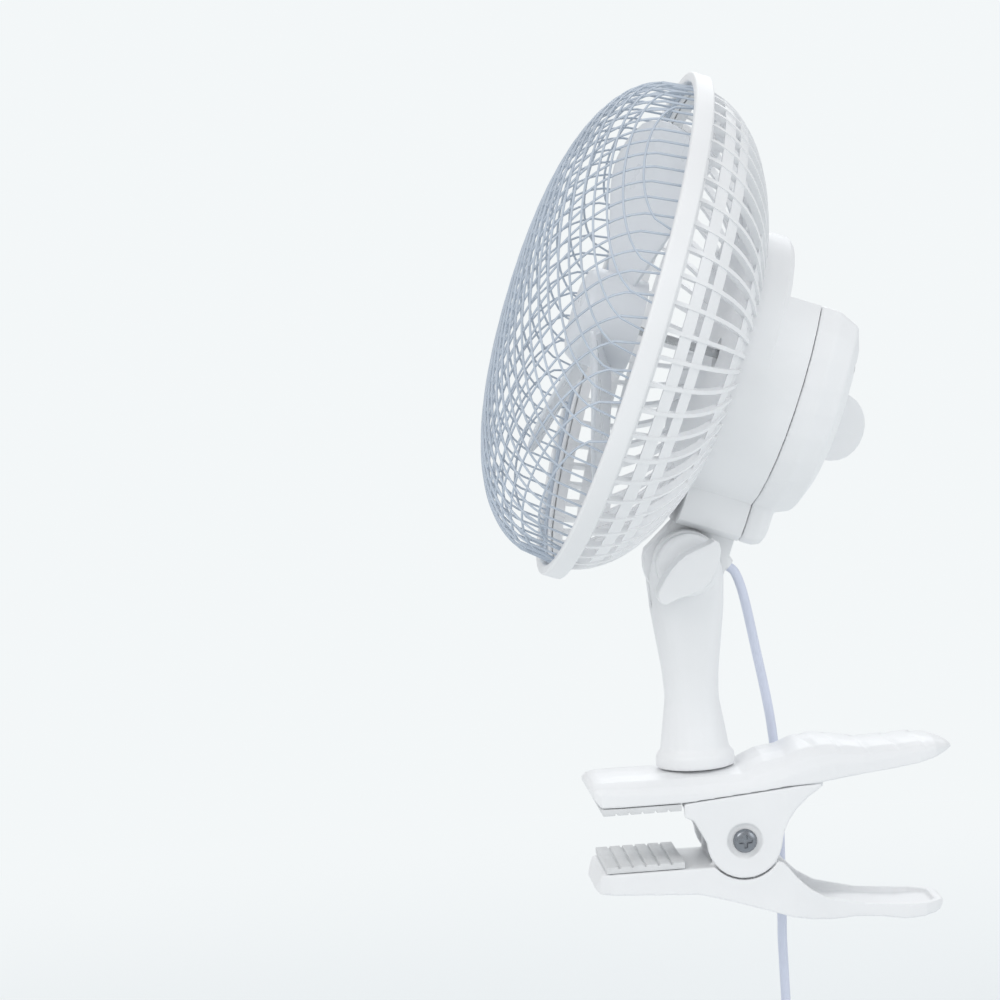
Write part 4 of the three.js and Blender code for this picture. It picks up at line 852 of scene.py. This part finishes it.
def net_lines(pitch):
    """Both families of strands, as lines of points in metres."""
    table = net_dome()
    reach = table[-1][0]
    count = int(reach / pitch)
    lines = []
    for family in (0, 1):
        for i in range(-count, count + 1):
            offset = i * pitch
            half = math.sqrt(reach**2 - offset**2)
            steps = max(4, round(2 * half / (pitch / 2)))
            spots = [half * (2 * k / steps - 1) for k in range(steps + 1)]
            lift = 0.25 if family else -0.25
            pairs = [(offset, s) if family else (s, offset) for s in spots]
            lines.append([on_net(table, u, v, lift) for u, v in pairs])
    return lines


class CLIPFAN_OT_front_net(bpy.types.Operator):
    """Add the front net of coated wire"""

    bl_idname = "clipfan.front_net"
    bl_label = "Front Net"

    def execute(self, context):
        sizes = context.scene.clip_fan_sizes
        net = wire("front_net_strands", net_lines(sizes.net_pitch / MM), sizes.net_strand / 2, 1)
        rim = [
            Vector((NET_RIM * math.cos(t), NET_RIM_Y - 0.3, NET_RIM * math.sin(t))) * MM
            for t in (2 * math.pi * i / 160 for i in range(161))
        ]
        edge = wire("front_net_rim", [rim], 0.8 * MM, 2)
        pick(edge, net)
        bpy.ops.object.join()
        settle(net, HEAD)
        put_on(smooth(net, 60), "head", "coated_wire", "front_net")
        return {"FINISHED"}


RING_PROFILE = (
    (87.4, -3.3),
    (91.0, -3.3),
    (91.0, 3.3),
    (87.4, 3.3),
    (87.4, 0.8),
    (84.4, 0.8),
    (84.4, -0.8),
    (87.4, -0.8),
)


class CLIPFAN_OT_guard_ring(bpy.types.Operator):
    """Add the ring that holds the front net and the rear grille"""

    bl_idname = "clipfan.guard_ring"
    bl_label = "Guard Ring"

    def execute(self, context):
        ring = turned("guard_ring_band", RING_PROFILE, 180)
        rounded(ring, 0.9 * MM, 3, 40)
        settle(ring, HEAD)
        put_on(smooth(ring, 40), "head", "white_plastic", "guard_ring")
        return {"FINISHED"}


GRILLE_RIM = 87.1
GRILLE_DEPTH = 42
GRILLE_ROUNDNESS = 2.15
GRILLE_WALL = 1.8
GRILLE_BANDS = ((1.1, 4.6), (9.2, 13.4), (15.6, 19.4), (31.2, 34.6))
RIB_ROWS = (1.1, 3, 6, 9, 12, 15, 18, 21, 24, 27, 29.5, 31.5, 33.5, 35)
RIB_DEPTH = 2.4
RIB_END = 40
PLATE_Y = 36.1
PLATE_WALL = 1.9
PLATE_RADIUS = 48.2
PLATE_HOLE = 5.8


def grille_radius(y):
    """The outside radius of the rear dome at a distance behind the ring."""
    return GRILLE_RIM * (1 - (y / GRILLE_DEPTH) ** GRILLE_ROUNDNESS) ** (1 / GRILLE_ROUNDNESS)


def grille_band(name, y0, y1):
    """A flat band round the rear dome."""
    count = 5
    rows = [y0 + (y1 - y0) * i / count for i in range(count + 1)]
    outer = [(grille_radius(y) - 0.5, y) for y in rows]
    inner = [(grille_radius(y) - 0.5 - GRILLE_WALL, y) for y in reversed(rows)]
    return turned(name, outer + inner, 116)


def grille_rib(width):
    """One rib over the rear dome, from the ring to the middle plate."""
    edge = -width / MM / 2
    points = [Vector((grille_radius(y), y, edge)) * MM for y in (*RIB_ROWS, PLATE_Y)]
    points.append(Vector((RIB_END, PLATE_Y, edge)) * MM)
    rib = drawn_line("grille_rib", points)
    bpy.ops.mesh.extrude_region_move(TRANSFORM_OT_translate={"value": (0, 0, width)})
    bpy.ops.object.mode_set(mode="OBJECT")
    wall = rib.modifiers.new("wall", "SOLIDIFY")
    wall.thickness = RIB_DEPTH * MM
    wall.offset = 0
    wall.use_even_offset = True
    return recalculate(apply_all(rib))


class CLIPFAN_OT_rear_grille(bpy.types.Operator):
    """Add the rear grille's ribs, bands and middle plate"""

    bl_idname = "clipfan.rear_grille"
    bl_label = "Rear Grille"

    def execute(self, context):
        sizes = context.scene.clip_fan_sizes
        rib = grille_rib(sizes.rib_width)
        parts = []
        for i in range(sizes.rib_count):
            copy = rib.copy()
            copy.data = rib.data.copy()
            bpy.context.scene.collection.objects.link(copy)
            copy.data.transform(
                Matrix.Rotation(2 * math.pi * (i + 0.5) / sizes.rib_count, 4, "Y")
                @ Matrix.Translation((-RIB_DEPTH / 2 * MM, 0, 0))
            )
            parts.append(copy)
        bpy.data.objects.remove(rib)
        for number, (y0, y1) in enumerate(GRILLE_BANDS):
            parts.append(grille_band(f"grille_band_{number}", y0, y1))
        front = PLATE_Y - PLATE_WALL
        plate = [
            (PLATE_RADIUS, front),
            (PLATE_RADIUS, PLATE_Y),
            (PLATE_HOLE, PLATE_Y),
            (PLATE_HOLE, front),
        ]
        parts.append(turned("grille_plate", plate, 116))
        pick(*parts)
        bpy.ops.object.join()
        grille = name_piece(bpy.context.object, "rear_grille_ribs")
        settle(grille, HEAD)
        put_on(smooth(grille, 35), "head", "white_plastic", "rear_grille")
        return {"FINISHED"}


# ---------------------------------------------------------------- blades

BLADE_TIP = 72
BLADE_PLANE = -6
BLADE_START = math.radians(22)
HUB_RADIUS = 17
HUB_DEPTH = 20
BLADE_WALL = 1.5


def blade_point(start, share, side):
    """A point in the middle of a blade: share goes from root to tip, side from edge to edge."""
    root = HUB_RADIUS - 1
    radius = root + (BLADE_TIP - root) * share
    rounding = math.sqrt(max(1 - (1.56 * max(share - 0.4, 0)) ** 4, 0))
    span = math.radians(48 + 18 * share) * rounding
    pitch = math.radians(30 - 13.5 * share)
    turn = start + side * span + 0.12 * share
    rise = BLADE_PLANE - side * span * radius * math.tan(pitch) + 3 * side * side
    return Vector((radius * math.cos(turn), rise, radius * math.sin(turn))) * MM


def fan_blade(number, start):
    """One twisted paddle, shaped from a flat grid."""
    rows, columns = 16, 12
    clear_selection()
    bpy.ops.mesh.primitive_grid_add(x_subdivisions=rows, y_subdivisions=columns, size=2)
    blade = name_piece(bpy.context.object, f"blade_{number}")
    for vertex in blade.data.vertices:
        share = (vertex.co.x + 1) / 2
        side = vertex.co.y / 2
        vertex.co = blade_point(start, share, side)
    wall = blade.modifiers.new("wall", "SOLIDIFY")
    wall.thickness = BLADE_WALL * MM
    wall.offset = 0
    apply_all(blade)
    rounded(blade, 0.5 * MM, 2, 50)
    return recalculate(blade)


class CLIPFAN_OT_blades(bpy.types.Operator):
    """Add the blades and their hub"""

    bl_idname = "clipfan.blades"
    bl_label = "Blades"

    def execute(self, context):
        sizes = context.scene.clip_fan_sizes
        front = BLADE_PLANE - HUB_DEPTH / 2
        back = BLADE_PLANE + HUB_DEPTH / 2
        profile = [
            (0, front - 2),
            (5, front - 1.95),
            (12, front - 1.6),
            (15.2, front - 0.4),
            (17, front + 2.5),
            (17, back),
            (15, back),
            (15, front + 3.5),
            (4.6, front + 1.5),
            (4.6, back - 2),
            (1.9, back - 2),
            (1.9, front + 3),
            (0, front + 3),
        ]
        hub = turned("fan_hub", profile, 72, closed=False)
        count = sizes.blade_count
        parts = [
            fan_blade(i + 1, 2 * math.pi * (i + 0.5) / count + BLADE_START) for i in range(count)
        ]
        pick(*parts, hub)
        bpy.ops.object.join()
        fan = name_piece(bpy.context.object, "fan_blades_and_hub")
        settle(fan, HEAD)
        put_on(smooth(fan, 40), "fan_rotor", "pale_plastic", "fan_blades")
        return {"FINISHED"}


# ---------------------------------------------------------------- casing, post and clamp

GROOVES = (54.7, 63.8, 73.6, 84.1, 94.0)  # where each groove would cross the handle's middle
GROOVE_SLANT = 0.32
GROOVE_DEPTH = 0.55
GROOVE_EDGE = 0.5
GROOVE_WIDTH = 2.6
GROOVE_REACH = (3, 16.6)  # from the handle's middle to its side
WING_FACE = 11.3
WING_BASE = 5.5
WING_TOP = 24.8
WING_DISC = 11
WING_SLOPE = (0.55, -0.72)  # the way that the leaf's face falls, backwards and up
WING_CREST = 1.0  # how far above the tilt bolt that slope starts
WING_FALL = 0.16
WING_EDGE = [
    (-12.2, -7.5),
    (-11.2, -5.8),
    (-9.3, -2.7),
    (-7.0, 0.3),
    (-4.7, 2.6),
    (-1.8, 4.6),
    (1.9, 6.2),
    (6.6, 8.0),
    (8.6, 9.1),
    (10.0, 8.0),
    (10.5, 5.4),
    (9.8, 1.6),
    (8.3, -1.9),
    (6.2, -5.2),
    (3.2, -8.1),
    (-2.2, -9.6),
    (-6.2, -10.7),
    (-9.8, -12.3),
    (-11.6, -11.4),
    (-12.3, -9.6),
]


class CLIPFAN_OT_casing(bpy.types.Operator):
    """Add the motor casing's two shells, the speed knob and the cover screws"""

    bl_idname = "clipfan.casing"
    bl_label = "Motor Casing"

    def execute(self, context):
        edge = context.scene.clip_fan_sizes.edge_round
        front = softened("housing_front", "casing_front_shell", edge)
        put_on(front, "head", "white_plastic", "housing_front")
        rear = moulded("housing_rear_cover", "casing_rear_shell", 0.62 * MM, 8)
        put_on(rear, "head", "white_plastic", "housing_rear_cover")
        knob = softened("switch_knob", "speed_knob", edge)
        put_on(knob, "switch_knob", "white_plastic", "switch_knob")
        for number in (1, 2, 3):
            screw = softened(f"cover_screw_{number}", f"casing_screw_{number}", 0.2 * MM)
            put_on(screw, "head", "steel", f"cover_screw_{number}")
        boot = softened("cord_gland", "cord_sleeve", 0.3 * MM)
        tip, out = cord_exit()
        root = tip - out * GLAND_REACH
        bend_between(boot, "head", "post", root * MM, tip * MM, "white_plastic", "cord_gland")
        return {"FINISHED"}


def wing_leaf():
    """The knob's leaf-shaped wing: high along its upper edge, falling away to the lower one."""
    clear_selection()
    foot = WING_FACE + WING_BASE - 1.5
    points = [Vector((foot, y, z)) * MM for y, z in WING_EDGE]
    leaf = drawn_line("wing_leaf", points)
    bpy.ops.mesh.edge_face_add()
    bpy.ops.mesh.extrude_region_move(
        TRANSFORM_OT_translate={"value": ((WING_TOP - foot) * MM, 0, 0)}
    )
    bpy.ops.object.mode_set(mode="OBJECT")
    for vertex in leaf.data.vertices:
        if vertex.co.x > (foot + 1) * MM:
            back, up = vertex.co.y / MM, vertex.co.z / MM - WING_CREST
            below = max(WING_SLOPE[0] * back + WING_SLOPE[1] * up, 0)
            vertex.co.x -= WING_FALL * below * MM
    return recalculate(leaf)


def wing_knob():
    """A round foot with its leaf, cast in one piece about the tilt bolt."""
    top = WING_FACE + WING_BASE
    profile = [
        (0, WING_FACE),
        (WING_DISC, WING_FACE),
        (WING_DISC, top - 1),
        (WING_DISC - 1.2, top),
        (8.4, top - 0.2),
        (5, top - 0.9),
        (0, top - 1.1),
    ]
    disc = turned("wing_disc", profile, 96, closed=False)
    settle(disc, Matrix.Rotation(-math.pi / 2, 4, "Z"))
    leaf = wing_leaf()
    pick(leaf, disc)
    bpy.ops.object.join()
    knob = name_piece(bpy.context.object, "wing_knob_grip")
    recast(knob, 0.3 * MM, 5)
    return settle(knob, Matrix.Translation(TILT_PIVOT))


class CLIPFAN_OT_post(bpy.types.Operator):
    """Add the post, the wing knob and the tilt bolt"""

    bl_idname = "clipfan.post"
    bl_label = "Post"

    def execute(self, context):
        post = moulded("post", "post_column", 0.5 * MM, 30)
        put_on(post, "post", "white_plastic", "post")
        put_on(wing_knob(), "wing_knob", "white_plastic", "wing_knob")
        bolt = softened("tilt_bolt", "tilt_bolt_plated", 0.2 * MM)
        put_on(bolt, "post", "steel", "tilt_bolt")
        return {"FINISHED"}


def press_grooves(cover):
    """Presses slanted finger steps into both shoulders of the upper handle."""
    for vertex in cover.data.vertices:
        x, y = abs(vertex.co.x) / MM, vertex.co.y / MM
        inner, outer = (x - GROOVE_REACH[0]) / 3, (GROOVE_REACH[1] - x) / 2
        across = min(max(inner, 0), 1) * min(max(outer, 0), 1)
        if vertex.normal.z < 0.15 or across == 0:
            continue
        for start in GROOVES:
            past = y - start - GROOVE_SLANT * x
            if -GROOVE_EDGE < past < GROOVE_WIDTH:
                fall = past / GROOVE_EDGE + 1 if past < 0 else 1 - past / GROOVE_WIDTH
                vertex.co.z -= GROOVE_DEPTH * fall * across * MM


class CLIPFAN_OT_clamp(bpy.types.Operator):
    """Add the clamp's cover, body, lower lever, pads and screw"""

    bl_idname = "clipfan.clamp"
    bl_label = "Clamp"

    def execute(self, context):
        edge = context.scene.clip_fan_sizes.edge_round
        cover = moulded("upper_cover", "clamp_cover", 0.5 * MM, 6)
        press_grooves(cover)
        put_on(cover, "clamp", "white_plastic", "upper_cover")
        body = moulded("clip_body", "clamp_body", 0.5 * MM, 10)
        put_on(body, "clamp", "white_plastic", "clip_body")
        lever = moulded("lower_lever", "clamp_lower_lever", 0.5 * MM, 8)
        put_on(lever, "lower_lever", "white_plastic", "lower_lever")
        for node, name, rides, finish in (
            ("upper_pad", "clamp_upper_pad", "clamp", "pad_rubber"),
            ("lower_pad", "clamp_lower_pad", "lower_lever", "pad_rubber"),
            ("clamp_screw", "clamp_pivot_screw", "clamp", "screw_dark"),
            ("clamp_nut", "clamp_pivot_nut", "clamp", "steel"),
        ):
            put_on(softened(node, name, edge * 0.5), rides, finish, node)
        return {"FINISHED"}


SPRING_HELD = Vector((0, 32.8, -8)) * MM  # handed to bend_between as the point above which the spring would stay with the clamp; no bending is done
SPRING_MOVED = Vector((0, 32.8, -18)) * MM  # handed to bend_between as the point below which the spring would follow the lower lever; no bending is done


class CLIPFAN_OT_inside(bpy.types.Operator):
    """Paint the motor, switch and other inner pieces, and add the spring"""

    bl_idname = "clipfan.inside"
    bl_label = "Inner Pieces"

    def execute(self, context):
        for node, finish in (
            ("stator", "laminations"),
            ("rotor", "laminations"),
            ("motor_coil", "copper_winding"),
            ("motor_shaft", "steel"),
            ("front_bearing_bracket", "cast_metal"),
            ("rear_bearing_bracket", "cast_metal"),
            ("rotary_switch", "dark_plastic"),
            ("swivel_washer", "steel"),
            ("swivel_screw", "steel"),
        ):
            paint(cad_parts[node], finish)
        spring = smooth(copied_node("clip_spring", "torsion_spring"), 50)
        bend_between(
            spring, "clamp", "lower_lever", SPRING_HELD, SPRING_MOVED, "steel", "clip_spring"
        )
        return {"FINISHED"}


# ---------------------------------------------------------------- panel and registration

PIECES = (
    CLIPFAN_OT_stage,
    CLIPFAN_OT_cord,
    CLIPFAN_OT_front_net,
    CLIPFAN_OT_guard_ring,
    CLIPFAN_OT_rear_grille,
    CLIPFAN_OT_blades,
    CLIPFAN_OT_casing,
    CLIPFAN_OT_post,
    CLIPFAN_OT_clamp,
    CLIPFAN_OT_inside,
)


class CLIPFAN_PT_sidebar(bpy.types.Panel):
    """The clip fan's sizes, colours and pieces"""

    bl_label = "Clip Fan"
    bl_idname = "CLIPFAN_PT_sidebar"
    bl_space_type = "VIEW_3D"
    bl_region_type = "UI"
    bl_category = "Clip Fan"

    def draw(self, context):
        layout = self.layout
        for group in (context.scene.clip_fan_sizes, context.scene.clip_fan_colours):
            box = layout.box()
            for name in group.bl_rna.properties.keys():
                if name not in ("rna_type", "name"):
                    box.prop(group, name)
        for piece in PIECES:
            layout.operator(piece.bl_idname)


CLASSES = (ClipFanSizes, ClipFanColours, *PIECES, CLIPFAN_PT_sidebar)


def register():
    for cls in CLASSES:
        bpy.utils.register_class(cls)
    bpy.types.Scene.clip_fan_sizes = bpy.props.PointerProperty(type=ClipFanSizes)
    bpy.types.Scene.clip_fan_colours = bpy.props.PointerProperty(type=ClipFanColours)


def unregister():
    del bpy.types.Scene.clip_fan_colours
    del bpy.types.Scene.clip_fan_sizes
    for cls in reversed(CLASSES):
        bpy.utils.unregister_class(cls)


def main():
    register()
    make_finishes(bpy.context.scene.clip_fan_colours)
    for piece in PIECES:
        area, name = piece.bl_idname.split(".")
        getattr(getattr(bpy.ops, area), name)()


if __name__ == "__main__":
    main()
